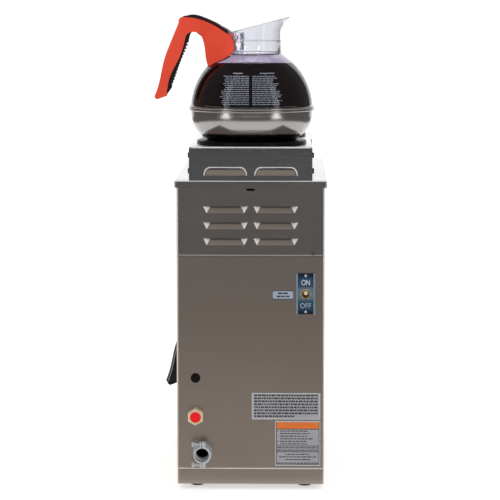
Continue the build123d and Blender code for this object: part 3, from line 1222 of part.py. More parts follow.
# Decanter, drawn once about its own stem: a polished bowl with a beaded band
BAND_TOP = BOWL_TOP + BAND_HEIGHT
BAND_BEAD = BAND_HEIGHT / 4
BEAD_ROOT = BAND_RADIUS - BAND_BEAD
BOWL_CENTRE = arc_centre((BOWL_FOOT, 0), (BOWL_RADIUS, BOWL_TOP), BOWL_CURVE)
BOWL_INSIDE = BOWL_CURVE - BOWL_WALL
BAND_INSIDE = reach_at(BOWL_CENTRE, BOWL_INSIDE, BOWL_TOP)
BEADS = (BOWL_TOP + BAND_BEAD, BAND_TOP - BAND_BEAD)
with BuildPart() as decanter_bowl:
    with BuildSketch(Plane.XZ):
        with BuildLine():
            Line((0, 0), (BOWL_FOOT, 0))
            side_arc(BOWL_CENTRE, BOWL_CURVE, 0, BOWL_TOP)
            Line((BOWL_RADIUS, BOWL_TOP), (BEAD_ROOT, BOWL_TOP))
            for height in BEADS:
                bead_ends = [(BEAD_ROOT, height - BAND_BEAD), (BEAD_ROOT, height + BAND_BEAD)]
                ThreePointArc(bead_ends[0], (BAND_RADIUS, height), bead_ends[1])
            Polyline((BEAD_ROOT, BAND_TOP), (BAND_INSIDE, BAND_TOP), (BAND_INSIDE, BOWL_TOP))
            side_arc(BOWL_CENTRE, BOWL_INSIDE, BOWL_TOP, BOWL_WALL)
            Polyline((reach_at(BOWL_CENTRE, BOWL_INSIDE, BOWL_WALL), BOWL_WALL), (0, BOWL_WALL), (0, 0))
        make_face()
    revolve(axis=Axis.Z)

# Clear dome that snaps into the band, with its neck and a spout lofted between slanted sections
LIP_OUTSIDE = BAND_INSIDE - HANDLE_FIT
LIP_INSIDE = LIP_OUTSIDE - DOME_WALL
DOME_CENTRE = arc_centre((DOME_FOOT, BAND_TOP), (NECK_RADIUS, NECK_BOTTOM), DOME_CURVE)
DOME_INSIDE = DOME_CURVE - DOME_WALL
DOME_SHOULDER = BAND_TOP + DOME_WALL
NECK_INSIDE = NECK_RADIUS - DOME_WALL
THROAT = DOME_CENTRE[1] + math.sqrt(DOME_INSIDE**2 - (NECK_INSIDE - DOME_CENTRE[0]) ** 2)
RIM_TOP = NECK_BOTTOM + RIM_TIP
RING_HEIGHTS = (NECK_BOTTOM + NECK_RING_LOW, NECK_BOTTOM + NECK_RING_HIGH)
flare_plane, flare_stretch = slanted(FLARE_BACK, FLARE_FRONT, NECK_RADIUS)
rim_plane, rim_stretch = slanted(RIM_BACK, RIM_TIP, SPOUT_REACH)
spout_sections = []
for wall in (0.0, DOME_WALL):
    half = NECK_RADIUS - wall
    front = SPOUT_REACH - wall
    lower = round_neck(flare_plane, half * flare_stretch, half)
    upper = spouted_neck(rim_plane, half * rim_stretch, half, front * rim_stretch)
    spout_sections.append([lower.face(), upper.face()])
with BuildPart() as decanter_dome:
    with BuildSketch(Plane.XZ):
        with BuildLine():
            Polyline(
                (reach_at(DOME_CENTRE, DOME_INSIDE, DOME_SHOULDER), DOME_SHOULDER),
                (LIP_INSIDE, DOME_SHOULDER),
                (LIP_INSIDE, BAND_TOP - DOME_LIP),
                (LIP_OUTSIDE, BAND_TOP - DOME_LIP),
                (LIP_OUTSIDE, BAND_TOP),
                (DOME_FOOT, BAND_TOP),
            )
            side_arc(DOME_CENTRE, DOME_CURVE, BAND_TOP, NECK_BOTTOM)
            Polyline(
                (NECK_RADIUS, NECK_BOTTOM),
                (NECK_RADIUS, RIM_TOP),
                (NECK_INSIDE, RIM_TOP),
                (NECK_INSIDE, THROAT),
            )
            side_arc(DOME_CENTRE, DOME_INSIDE, THROAT, DOME_SHOULDER)
        make_face()
        with Locations(*[(NECK_RADIUS, height) for height in RING_HEIGHTS]):
            Rectangle(2 * NECK_RING, NECK_RING_HEIGHT)
    revolve(axis=Axis.Z)
    split(bisect_by=flare_plane, keep=Keep.BOTTOM)
    loft(sections=spout_sections[0], ruled=True)
    loft(sections=spout_sections[1], ruled=True, mode=Mode.SUBTRACT)


def grip_points(outline):
    """Points of one of the handle's side outlines, from the stem and from the decanter's base."""
    return [(GRIP_REACH - inward, NECK_BOTTOM + rise) for inward, rise in outline]


def root_plan(grip, root):
    """Handle seen from above: an even grip that widens to a broad root round the neck."""
    far = 2 * GRIP_REACH
    Polygon(
        (0, -root),
        (ROOT_FLARE_END, -root),
        (ROOT_FLARE_START, -grip),
        (far, -grip),
        (far, grip),
        (ROOT_FLARE_START, grip),
        (ROOT_FLARE_END, root),
        (0, root),
        align=None,
    )


# Space that the dome takes, kept clear of the handle
with BuildPart() as dome_guard:
    with BuildSketch(Plane.XZ):
        with BuildLine():
            guard = DOME_CURVE + DOME_CLEARANCE
            guard_top = NECK_BOTTOM + DOME_CLEARANCE
            Line((0, BAND_TOP), (reach_at(DOME_CENTRE, guard, BAND_TOP), BAND_TOP))
            side_arc(DOME_CENTRE, guard, BAND_TOP, guard_top)
            Polyline((reach_at(DOME_CENTRE, guard, guard_top), guard_top), (0, guard_top), (0, BAND_TOP))
        make_face()
    revolve(axis=Axis.Z)

# Handle core with a ribbed grip and a saddle round the neck
SADDLE_INSIDE = NECK_RADIUS + NECK_RING + HANDLE_FIT
SADDLE_OUTSIDE = SADDLE_INSIDE + SADDLE_THICK
CORE_ROOT_HALF = ROOT_HALF - CHEEK_THICK
with BuildPart() as decanter_core:
    with BuildSketch(Plane.XZ):
        with BuildLine():
            Spline(*grip_points(CORE_CREST))
            ThreePointArc(*grip_points(CORE_SHOULDER))
            Spline(*grip_points(CORE_BACK))
            Polyline(*grip_points(CORE_TIP))
            Spline(*grip_points(CORE_GRIP), tangents=(GRIP_START, GRIP_END))
            Polyline(*grip_points(CORE_ROOT))
        make_face()
        for rib in range(RIBS):
            share = (rib + 0.5) / RIBS
            rib_place = [foot + (head - foot) * share for foot, head in zip(RIB_FOOT, RIB_HEAD)]
            with Locations(*grip_points([rib_place])):
                Circle(RIB_RADIUS, mode=Mode.SUBTRACT)
    extrude(amount=ROOT_HALF, both=True)
    with BuildSketch(Plane.XY):
        root_plan(CORE_HALF, CORE_ROOT_HALF)
    extrude(amount=2 * RIM_TOP, mode=Mode.INTERSECT)
    with BuildSketch(Plane.XY.offset(NECK_BOTTOM + SADDLE_BOTTOM)):
        Circle(SADDLE_OUTSIDE)
        far = 2 * SADDLE_OUTSIDE
        edge_x = far * math.cos(math.radians(SADDLE_SPAN / 2))
        edge_y = far * math.sin(math.radians(SADDLE_SPAN / 2))
        wedge = ((0, 0), (edge_x, edge_y), (far, edge_y), (far, -edge_y), (edge_x, -edge_y))
        Polygon(*wedge, align=None, mode=Mode.INTERSECT)
    extrude(amount=SADDLE_TOP - SADDLE_BOTTOM)
    with BuildSketch(Plane.XY.offset(BAND_TOP)):
        Circle(SADDLE_INSIDE)
    extrude(amount=RIM_TOP, mode=Mode.SUBTRACT)
    add(dome_guard.part, mode=Mode.SUBTRACT)

# Coloured cheeks, one on each side of the core
with BuildPart() as decanter_cheeks:
    with BuildSketch(Plane.XZ):
        with BuildLine():
            Spline(*grip_points(CHEEK_CREST))
            ThreePointArc(*grip_points(CHEEK_SHOULDER))
            Spline(*grip_points(CHEEK_BACK))
            ThreePointArc(*grip_points(CHEEK_TIP))
            Polyline(*grip_points(CHEEK_TOE))
            Spline(*grip_points(CHEEK_GRIP), tangents=(CHEEK_GRIP_START, GRIP_END))
            Spline(*grip_points(CHEEK_ARCH), tangents=(GRIP_END, ARCH_END))
            Polyline(*grip_points(CHEEK_ROOT))
        make_face()
    extrude(amount=ROOT_HALF, both=True)
    with BuildSketch(Plane.XY):
        root_plan(CORE_HALF + CHEEK_THICK, ROOT_HALF)
    extrude(amount=2 * RIM_TOP, mode=Mode.INTERSECT)
    with BuildSketch(Plane.XY):
        root_plan(CORE_HALF + HANDLE_FIT, CORE_ROOT_HALF + HANDLE_FIT)
    extrude(amount=2 * RIM_TOP, mode=Mode.SUBTRACT)
    with BuildSketch(Plane.XY.offset(BAND_TOP)):
        Circle(SADDLE_OUTSIDE + HANDLE_FIT)
    extrude(amount=RIM_TOP, mode=Mode.SUBTRACT)
    add(dome_guard.part, mode=Mode.SUBTRACT)

# Coffee that fills the bowl and the dome to its level, just clear of their walls
COFFEE_BOWL = BOWL_INSIDE - COFFEE_GAP
COFFEE_DOME = DOME_INSIDE - COFFEE_GAP
COFFEE_FLOOR = BOWL_WALL + COFFEE_GAP
COFFEE_SHOULDER = DOME_SHOULDER + COFFEE_GAP
COFFEE_LEVEL = NECK_BOTTOM - COFFEE_DROP
with BuildPart() as decanter_coffee:
    with BuildSketch(Plane.XZ):
        with BuildLine():
            Line((0, COFFEE_FLOOR), (reach_at(BOWL_CENTRE, COFFEE_BOWL, COFFEE_FLOOR), COFFEE_FLOOR))
            side_arc(BOWL_CENTRE, COFFEE_BOWL, COFFEE_FLOOR, BOWL_TOP)
            Polyline(
                (reach_at(BOWL_CENTRE, COFFEE_BOWL, BOWL_TOP), BOWL_TOP),
                (LIP_INSIDE - COFFEE_GAP, BOWL_TOP),
                (LIP_INSIDE - COFFEE_GAP, COFFEE_SHOULDER),
                (reach_at(DOME_CENTRE, COFFEE_DOME, COFFEE_SHOULDER), COFFEE_SHOULDER),
            )
            side_arc(DOME_CENTRE, COFFEE_DOME, COFFEE_SHOULDER, COFFEE_LEVEL)
            surface = reach_at(DOME_CENTRE, COFFEE_DOME, COFFEE_LEVEL)
            Polyline((surface, COFFEE_LEVEL), (0, COFFEE_LEVEL), (0, COFFEE_FLOOR))
        make_face()
    revolve(axis=Axis.Z)

# Two decanters: one full on the upper rear warmer, one empty on the lower warmer, its handle turned back
EMPTY_DECANTER = (
    ("bowl", decanter_bowl),
    ("dome", decanter_dome),
    ("handle_core", decanter_core),
    ("handle_cheeks", decanter_cheeks),
)
FULL_DECANTER = (*EMPTY_DECANTER, ("coffee", decanter_coffee))
DECANTERS = (
    ("rear_decanter", BOX_TOP + PLATE_RISE, REAR_WARMER_DEPTH, 0.0, FULL_DECANTER),
    ("lower_decanter", BASE_TOP + PLATE_RISE, LOWER_WARMER_DEPTH, LOWER_TURN, EMPTY_DECANTER),
)
for decanter_name, decanter_base, decanter_depth, decanter_turn, pieces in DECANTERS:
    stand = level(decanter_base, depth=decanter_depth).rotated((0, 0, decanter_turn))
    for piece_name, piece in pieces:
        placed = piece.part.moved(stand.location)
        placed.label = f"{decanter_name}_{piece_name}"
        export_step(placed, f"parts/{placed.label}.step")
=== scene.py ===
# %% [markdown]
# The coffee brewer comes into Blender as a finished set of solids. They fix every size and place, so this
# script only adds what solids can't say: finishes, printing, smooth moulded surfaces, a camera and light.

import bpy
import bmesh
import math
import numpy as np
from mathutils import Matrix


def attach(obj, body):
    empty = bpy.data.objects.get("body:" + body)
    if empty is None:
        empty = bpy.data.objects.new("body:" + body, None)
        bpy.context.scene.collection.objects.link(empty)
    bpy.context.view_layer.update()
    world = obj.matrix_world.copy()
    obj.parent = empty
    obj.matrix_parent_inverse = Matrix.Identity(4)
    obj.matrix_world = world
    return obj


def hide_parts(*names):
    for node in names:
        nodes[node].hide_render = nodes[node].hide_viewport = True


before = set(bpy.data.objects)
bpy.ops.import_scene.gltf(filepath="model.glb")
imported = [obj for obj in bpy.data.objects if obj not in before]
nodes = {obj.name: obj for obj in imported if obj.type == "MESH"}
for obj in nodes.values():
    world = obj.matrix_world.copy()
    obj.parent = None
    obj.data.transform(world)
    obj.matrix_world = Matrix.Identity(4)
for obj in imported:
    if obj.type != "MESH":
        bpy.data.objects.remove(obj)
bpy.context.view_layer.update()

# %% [markdown]
# The same real sizes that the solids were made from place the new pieces. Everything is set out from the
# middle of the body, from its rear face and from the counter, in millimetres, and turned to metres once.

# %% Places shared with the solids
MM = 0.001
BODY_X = -16.5
REAR_Y = 240.0
UPPER_WARMER = (BODY_X, REAR_Y - 89.0, 513.5)
LOWER_WARMER = (BODY_X, REAR_Y - 352.0, 39.0)
LOWER_TURN = 10.0
print("upper decanter stands at", UPPER_WARMER, "lower one at", LOWER_WARMER)

# %% [markdown]
# The camera stands about three metres behind the brewer, just above the decanter's rim, and looks slightly down
# with a long lens, as a catalogue photographer does to keep upright edges upright. A small shift of the sensor
# brings the brewer back to the middle of the picture.

# %% Camera
FRAME_PIXELS = 500
FOCAL_PIXELS = 2095.55


def aim_camera(place, yaw, pitch, shift_y):
    """Camera at place in metres, turned yaw off the -Y direction and pitched down, both in radians."""
    data = bpy.data.cameras.new("catalogue_camera")
    data.sensor_width = 36.0
    data.lens = FOCAL_PIXELS / FRAME_PIXELS * data.sensor_width
    data.shift_y = shift_y
    camera = bpy.data.objects.new("catalogue_camera", data)
    camera.location = place
    camera.rotation_euler = (math.pi / 2 - pitch, 0, math.pi + yaw)
    bpy.context.scene.collection.objects.link(camera)
    bpy.context.scene.camera = camera
    return camera


camera = aim_camera((-0.07329, 3.28099, 0.71347), 0.01896, 0.09282, -0.1)
print("lens", round(camera.data.lens, 1), "mm")

# %% [markdown]
# Shader colours are linear, but colours are picked and compared as sRGB hex values. One function turns one
# into the other. One more adds a node, sets what it is told to and links its inputs, and a few short ones name
# the nodes that come up again and again: sums, ranges, noise, relief, ramps and mixes.

# %% Colour and node helpers
def paint(code):
    """Linear RGBA of an sRGB hex code: c / 12.92 below 0.04045, else ((c + 0.055) / 1.055) ** 2.4."""
    srgb = np.array([int(code[i : i + 2], 16) for i in (1, 3, 5)]) / 255.0
    linear = np.where(srgb <= 0.04045, srgb / 12.92, ((srgb + 0.055) / 1.055) ** 2.4)
    return (*linear.tolist(), 1.0)


def add(tree, kind, settings=None, inputs=None):
    """Adds one node to tree. Settings are its attributes; inputs are values or other nodes' outputs."""
    made = tree.nodes.new(kind)
    for name, value in (settings or {}).items():
        setattr(made, name, value)
    for name, value in (inputs or {}).items():
        if isinstance(value, bpy.types.NodeSocket):
            tree.links.new(value, made.inputs[name])
        else:
            made.inputs[name].default_value = value
    return made


def maths(tree, operation, *values):
    """Result of one operation on its values."""
    return add(tree, "ShaderNodeMath", {"operation": operation}, dict(enumerate(values))).outputs[0]


def spread(tree, value, low, high, start=0.0, end=1.0):
    """Value taken from the range low to high into the range start to end, and held at both ends."""
    inputs = {"Value": value, "From Min": low, "From Max": high, "To Min": start, "To Max": end}
    return add(tree, "ShaderNodeMapRange", inputs=inputs).outputs[0]


def split(tree, vector):
    """X, Y and Z of a vector."""
    return add(tree, "ShaderNodeSeparateXYZ", inputs={"Vector": vector}).outputs


def stretch(tree, vector, scale):
    """Vector times a scale of its own along each axis, for noise that runs longer one way."""
    return add(tree, "ShaderNodeMapping", inputs={"Vector": vector, "Scale": scale}).outputs[0]


def noise(tree, vector, scale, detail=2.0, roughness=0.5):
    """Noise between 0 and 1 of scale cycles a metre."""
    inputs = {"Vector": vector, "Scale": scale, "Detail": detail, "Roughness": roughness}
    return add(tree, "ShaderNodeTexNoise", inputs=inputs).outputs["Fac"]


def relief(tree, height, strength, distance):
    """Normal tilted by the slope of a height that is worth distance metres."""
    inputs = {"Height": height, "Strength": strength, "Distance": distance}
    return add(tree, "ShaderNodeBump", inputs=inputs).outputs[0]


def two_tone(tree, value, low, dark, high, light):
    """Colour that runs from the hex code dark at low to light at high."""
    tone = add(tree, "ShaderNodeValToRGB", inputs={"Fac": value})
    for stop, position, code in zip(tone.color_ramp.elements, (low, high), (dark, light)):
        stop.position, stop.color = position, paint(code)
    return tone.outputs["Color"]


def mix_colours(tree, share, first, second):
    """Colour that is first where share is 0 and second where it is 1."""
    return add(tree, "ShaderNodeMix", {"data_type": "RGBA"}, {"Factor": share, "A": first, "B": second}).outputs[2]


def surface(tree, **values):
    """Principled surface. Its inputs are named with _ for a space."""
    inputs = {name.replace("_", " "): value for name, value in values.items()}
    return add(tree, "ShaderNodeBsdfPrincipled", inputs=inputs).outputs[0]


def mix_surfaces(tree, share, first, second):
    """Surface that is first where share is 0 and second where it is 1."""
    return add(tree, "ShaderNodeMixShader", inputs={"Fac": share, 1: first, 2: second}).outputs[0]


def own_place(tree):
    """Coordinates of the object that wears the material, in metres."""
    return add(tree, "ShaderNodeTexCoord").outputs["Object"]


def start_material(name):
    """Empty node material and its tree."""
    material = bpy.data.materials.new(name)
    material.use_nodes = True
    material.node_tree.nodes.clear()
    return material, material.node_tree


def end_material(material, shader):
    """Links the shader to the material's output and gives the material back."""
    add(material.node_tree, "ShaderNodeOutputMaterial", inputs={"Surface": shader})
    return material


print("sRGB #808080 is linear", round(paint("#808080")[0], 3))

# %% [markdown]
# The set is a pale floor under a white surround, with two softboxes behind the camera and one overhead. A grey
# curved screen round the camera and a grey card on the floor give the steel something dark to mirror, as a
# studio's flags do. Two bright strips stand in the screen at 47 degrees on either side, which a round shape
# shows as two soft lines, and a small white card lies round the bowl's foot to light its under side. Only
# mirrors see these, and they don't see the lamps. Two black cards beside the set do the same for clear plastic:
# glass on white has no outline of its own, and its thick edges bend the view sideways onto the cards. The
# surround is white to the camera, to gloss and to glass, and a little dimmer as a lamp.

# %% Floor, surround and lamps
SURROUND_LIGHT, SURROUND_WHITE = 0.75, 1.08


def seen_directly(tree):
    """1 for rays from the camera, from gloss and through glass, else 0."""
    rays = add(tree, "ShaderNodeLightPath").outputs
    gloss = maths(tree, "MAXIMUM", rays["Is Camera Ray"], rays["Is Glossy Ray"])
    return maths(tree, "MAXIMUM", gloss, rays["Is Transmission Ray"])


def white_surround():
    """World that shows as white and lights a little less."""
    world = bpy.data.worlds.new("white_surround")
    bpy.context.scene.world = world
    world.use_nodes = True
    tree = world.node_tree
    tree.nodes.clear()
    level = spread(tree, seen_directly(tree), 0.0, 1.0, SURROUND_LIGHT, SURROUND_WHITE)
    light = add(tree, "ShaderNodeBackground", inputs={"Color": (1, 1, 1, 1), "Strength": level})
    add(tree, "ShaderNodeOutputWorld", inputs={"Surface": light.outputs[0]})


def stage_sheet(name, points, faces, code, own_light, strength=1.0):
    """Stage piece of a matt colour. Camera, gloss and glass also see strength of own_light added to it."""
    mesh = bpy.data.meshes.new(name)
    mesh.from_pydata(points, [], faces)
    sheet = bpy.data.objects.new(name, mesh)
    bpy.context.scene.collection.objects.link(sheet)
    material, tree = start_material(name)
    matt = add(tree, "ShaderNodeBsdfDiffuse", inputs={"Color": paint(code)})
    level = maths(tree, "MULTIPLY", seen_directly(tree), strength)
    glow = add(tree, "ShaderNodeEmission", inputs={"Color": paint(own_light), "Strength": level})
    both = add(tree, "ShaderNodeAddShader", inputs={0: matt.outputs[0], 1: glow.outputs[0]})
    mesh.materials.append(end_material(material, both.outputs[0]))
    return sheet


def grid_faces(rows, columns, wrap_rows=False, wrap_columns=False):
    """Quads of a grid of points, as corner numbers. A wrapped side joins its last line to its first."""
    row = np.arange(rows if wrap_rows else rows - 1)[:, None]
    column = np.arange(columns if wrap_columns else columns - 1)[None, :]
    below, beside = (row + 1) % rows, (column + 1) % columns
    corners = (row * columns + column, row * columns + beside, below * columns + beside, below * columns + column)
    return np.stack(corners, axis=-1).reshape(-1, 4).tolist()


def screen_points(radius, start, end, low, high):
    """Part of a sphere about the brewer: radius times (sin a cos e, cos a cos e, sin e), a and e in degrees."""
    around, up = np.radians(np.meshgrid(np.linspace(start, end, 25), np.linspace(low, high, 13)))
    points = radius * np.stack([np.sin(around) * np.cos(up), np.cos(around) * np.cos(up), np.sin(up)], axis=-1)
    return (points.reshape(-1, 3) + [0, 0, 0.4]).tolist()


def level_patch(reach, around, height):
    """Level patch between two distances from the stem or the brewer, over angles from the Y axis in radians."""
    around, reach = np.meshgrid(around, reach)
    patch = np.stack([reach * np.sin(around), reach * np.cos(around), 0 * reach + height], axis=-1)
    return patch.reshape(-1, 3)


def softbox(name, place, target, size, watts):
    """Rectangular area lamp at place that faces target and that gloss doesn't see."""
    data = bpy.data.lights.new(name, "AREA")
    data.shape = "RECTANGLE"
    data.size, data.size_y = size
    data.energy = watts
    lamp = bpy.data.objects.new(name, data)
    lamp.location = place
    x, y, z = np.array(place) - np.array(target)
    lamp.rotation_euler = (math.atan2(math.hypot(x, y), z), 0, math.atan2(y, x) + math.pi / 2)
    lamp.visible_glossy = False
    bpy.context.scene.collection.objects.link(lamp)


white_surround()
ONE_QUAD = [(0, 1, 2, 3)]
FLOOR = [(-6, -6, 0), (6, -6, 0), (6, 3.4, 0), (-6, 3.4, 0)]
stage_sheet("floor", FLOOR, ONE_QUAD, "#DEDDDB", "#FFFFFF", 0.5)
BLACK, WHITE = "#000000", "#FFFFFF"
SCREEN_GREY, NEAR_GREY = "#757372", "#B3AEA9"
FLOOR_CARDS = (
    (-1.3, 1.3, 0.27, 1.3, NEAR_GREY), (-8, 8, 1.3, 3.35, SCREEN_GREY),
    (-8, -1.3, -4, 1.3, SCREEN_GREY), (1.3, 8, -4, 1.3, SCREEN_GREY),
)
SCREEN_RADIUS = 5.0
SCREEN_PARTS = (
    (-145, -52, -6, 62, SCREEN_GREY, 1.0), (-52, -42, -6, 40, WHITE, 2.2), (-42, 42, -6, 62, SCREEN_GREY, 1.0),
    (42, 52, -6, 40, WHITE, 2.2), (52, 145, -6, 62, SCREEN_GREY, 1.0), (-145, 145, 62, 89, SCREEN_GREY, 1.0),
)
mirrored = []
for number, (left, right, near, far, code) in enumerate(FLOOR_CARDS):
    corners = [(left, near, 0.001), (right, near, 0.001), (right, far, 0.001), (left, far, 0.001)]
    mirrored.append(stage_sheet(f"floor_card_{number}", corners, ONE_QUAD, BLACK, code))
for side in (-1, 1):
    patch = level_patch([2.1, 4.6], np.radians([side * 38, side * 55]), 0.002).tolist()
    mirrored.append(stage_sheet(f"floor_strip_{side + 1}", patch, grid_faces(2, 2), BLACK, WHITE, 2.4))
for number, (start, end, low, high, code, strength) in enumerate(SCREEN_PARTS):
    points = screen_points(SCREEN_RADIUS, start, end, low, high)
    mirrored.append(stage_sheet(f"screen_part_{number}", points, grid_faces(13, 25), BLACK, code, strength))
for height, code in ((506.5, WHITE), (505.5, "#2A2A2A")):
    collar = level_patch([98.0, 165.0], np.radians(np.linspace(100, -100, 33)), height)
    points = ((collar + [UPPER_WARMER[0], UPPER_WARMER[1], 0]) * MM).tolist()
    mirrored.append(stage_sheet(f"bowl_card_{height:.1f}", points, grid_faces(2, 33), BLACK, code))
for sheet in mirrored:
    sheet.visible_camera = sheet.visible_diffuse = sheet.visible_transmission = sheet.visible_shadow = False
for side in (-1, 1):
    corners = [(side * 0.62, y, z) for y, z in ((-1.0, 0.3), (0.1, 0.3), (0.1, 1.2), (-1.0, 1.2))]
    card = stage_sheet(f"black_card_{side + 1}", corners, ONE_QUAD, BLACK, "#101012")
    card.visible_camera = card.visible_diffuse = card.visible_glossy = card.visible_shadow = False
softbox("left_softbox", (1.3, 2.6, 1.9), (0, 0.1, 0.4), (0.5, 0.9), 15)
softbox("right_softbox", (-1.5, 2.6, 1.9), (0, 0.1, 0.4), (0.5, 0.9), 15)
softbox("top_softbox", (0, 0.1, 2.4), (0, 0.1, 0.0), (1.6, 1.6), 16)
bpy.context.scene.view_settings.view_transform = "Standard"

# %% [markdown]
# The housing is 430 stainless sheet with a brushed finish. The belt leaves long shallow scratches along the
# sheet, so noise that is stretched a hundredfold along one direction tints the metal, changes its roughness and
# tilts its surface a little. Real scratches are a tenth of a millimetre apart, too fine for this view, so they
# are drawn about a millimetre apart. Slow cloudy noise stands for the handling marks that wiping leaves.

# %% Brushed stainless sheet
def apart_from(tree, value, middle):
    """Distance between value, in metres, and middle, in millimetres."""
    return maths(tree, "ABSOLUTE", maths(tree, "SUBTRACT", value, middle * MM))


def nearer_than(tree, value, middle, half):
    """1 where value lies less than half from middle, both in millimetres, else 0."""
    return maths(tree, "LESS_THAN", apart_from(tree, value, middle), half * MM)


def brushed_stainless(name, light, dark, roughness, grain=(7, 7, 700), vents=None, up=None, louvre_light_colours=None):
    """Brushed sheet whose tone runs between two hex colours; grain is cycles per metre along X, Y and Z. Pressed
    vents, given as (distance from the middle, half width, height, half height, colour), have a face of that
    colour, a painted reflection of the floor. Faces that look up have the colour up, a painted reflection of the
    bright set.
    Slanted faces of louvres fade to two given colours of painted light: a painted highlight on their sides and
    painted light on their slopes."""
    material, tree = start_material(name)
    coordinates = add(tree, "ShaderNodeTexCoord").outputs
    place = coordinates["Object"]
    at, facing = split(tree, place), split(tree, coordinates["Normal"])
    scratches = noise(tree, stretch(tree, place, grain), 1.0, 5.0, 0.6)
    clouds = noise(tree, place, 9.0, 4.0, 0.55)
    blend = maths(tree, "MULTIPLY_ADD", maths(tree, "SUBTRACT", clouds, scratches), 0.55, scratches)
    skin = two_tone(tree, blend, 0.3, dark, 0.7, light)
    gloss = spread(tree, blend, 0.3, 0.7, roughness + 0.05, roughness - 0.05)
    scratched = relief(tree, scratches, 0.06, 0.0004)
    # Faces that look up take a pale colour: a painted reflection of the bright set on the tops.
    if up:
        skin = mix_colours(tree, spread(tree, facing["Z"], 0.6, 0.9), skin, paint(up))
    metal = surface(tree, Base_Color=skin, Metallic=1.0, Roughness=gloss, Normal=scratched)
    inboard, behind = nearer_than(tree, at["X"], BODY_X, 100), nearer_than(tree, at["Y"], REAR_Y, 8)
    at_rear = maths(tree, "MULTIPLY", inboard, behind)
    # Painted light on the louvres: faces turned sideways fade to a painted highlight, and faces tilted up fade to
    # painted light, by the way they face.
    if louvre_light_colours:
        sideways = maths(tree, "ABSOLUTE", facing["X"])
        slants = ((sideways, 0.15, 0.45, 0.95, louvre_light_colours[0]), (facing["Z"], 0.06, 0.5, 0.6, louvre_light_colours[1]))
        for value, low, high, most, code in slants:
            share = maths(tree, "MULTIPLY", spread(tree, value, low, high, 0.0, most), at_rear)
            painted_louvre_surface = surface(tree, Base_Color=paint(code), Metallic=0.3, Roughness=0.45)
            metal = mix_surfaces(tree, share, metal, painted_louvre_surface)
    # The vents' faces take a brownish colour: a painted reflection of the floor.
    if vents:
        aside, half_width, height, half_height, code = vents
        beside = nearer_than(tree, apart_from(tree, at["X"], BODY_X), aside, half_width)
        level = nearer_than(tree, at["Z"], height, half_height)
        within = maths(tree, "MULTIPLY", maths(tree, "MULTIPLY", beside, level), at_rear)
        painted_vent_reflection = surface(tree, Base_Color=paint(code), Metallic=0.5, Roughness=0.55, Normal=scratched)
        metal = mix_surfaces(tree, within, metal, painted_vent_reflection)
    return end_material(material, metal)


VENT_X = 37.0
# The colour in the vents' entry is a painted reflection of the floor on their faces.
VENT_FACES = (VENT_X, 28.6, 470.2, 4.0, "#8F857B")
body_steel = brushed_stainless("brushed_stainless_body", "#C1B6AE", "#B9AEA6", 0.34)
# Painted light on the hood's louvres: a painted highlight on their sides, painted light on their slopes.
LOUVRE_PAINTED_LIGHT = ("#F4F0EC", "#9D8F84")
# The hood is the body's sheet made a shade darker: painted shade, for how its faces mirror the set.
hood_steel = brushed_stainless("brushed_stainless_hood", "#AAA6A4", "#A29E9C", 0.30, louvre_light_colours=LOUVRE_PAINTED_LIGHT)
# The box and the cover are paler where they face up: a painted reflection.
box_steel = brushed_stainless(
    "brushed_stainless_warmer_box", "#9A9A9F", "#909196", 0.28, vents=VENT_FACES, up="#F3F3F5"
)
top_steel = brushed_stainless("brushed_stainless_cover", "#A3A0A0", "#989596", 0.24, (7, 700, 7), up="#E9E8E9")
print("steel finishes", [m.name for m in bpy.data.materials if "stainless" in m.name])

# %% [markdown]
# Smaller metal parts are turned, stamped or cast. Turned and stamped ones are bright with a tight gloss; cast
# zinc is greyer, with a fine orange-peel skin that scatters the light.

# %% Small metal parts
def small_metal(name, code, roughness, bump=0.0, scale=900.0, metallic=1.0):
    """Metal with a fine skin of noise, scale cycles per metre, that varies its gloss and relief."""
    material, tree = start_material(name)
    skin = noise(tree, own_place(tree), scale, 3.0)
    gloss = spread(tree, skin, 0.3, 0.7, max(0.02, roughness - 0.06), roughness + 0.06)
    peel = relief(tree, skin, bump, 0.0002)
    return end_material(
        material, surface(tree, Base_Color=paint(code), Metallic=metallic, Roughness=gloss, Normal=peel)
    )


plated_steel = small_metal("zinc_plated_steel", "#CDD0D2", 0.22, metallic=0.5)
cast_zinc = small_metal("die_cast_zinc", "#C3CACE", 0.34, 0.25, 700.0, 0.4)
turned_brass = small_metal("turned_brass", "#F0DBB8", 0.25, metallic=0.5)
drawn_copper = small_metal("drawn_copper", "#B87A55", 0.28)
dull_screws = small_metal("dull_zinc_screws", "#84858A", 0.35)
heater_sheath = small_metal("nickel_alloy_sheath", "#8D8A84", 0.38, 0.2)
print("small metals", plated_steel.name, cast_zinc.name, turned_brass.name)

# %% [markdown]
# The decanter's bowl is polished stainless, spun on a lathe. Spinning leaves rings round the stem that only
# show as a slight unevenness in the reflections, so the noise here depends on height alone.

# %% Polished bowl
def spun_stainless(name, code, roughness):
    """Polished spun metal: noise of height only, 400 rings per metre, tilts the surface very slightly."""
    material, tree = start_material(name)
    rings = noise(tree, stretch(tree, own_place(tree), (0.5, 0.5, 400)), 1.0)
    ridged = relief(tree, rings, 0.03, 0.0003)
    return end_material(
        material, surface(tree, Base_Color=paint(code), Metallic=1.0, Roughness=roughness, Normal=ridged)
    )


bowl_steel = spun_stainless("polished_spun_stainless", "#AFABA9", 0.2)
print("bowl", bowl_steel.name)

# %% [markdown]
# Moulded plastics share one build: a colour that varies by a shade, a gloss that varies a little and the fine
# grain that a spark-eroded mould leaves. Only colour, gloss and grain differ from polypropylene to rubber.

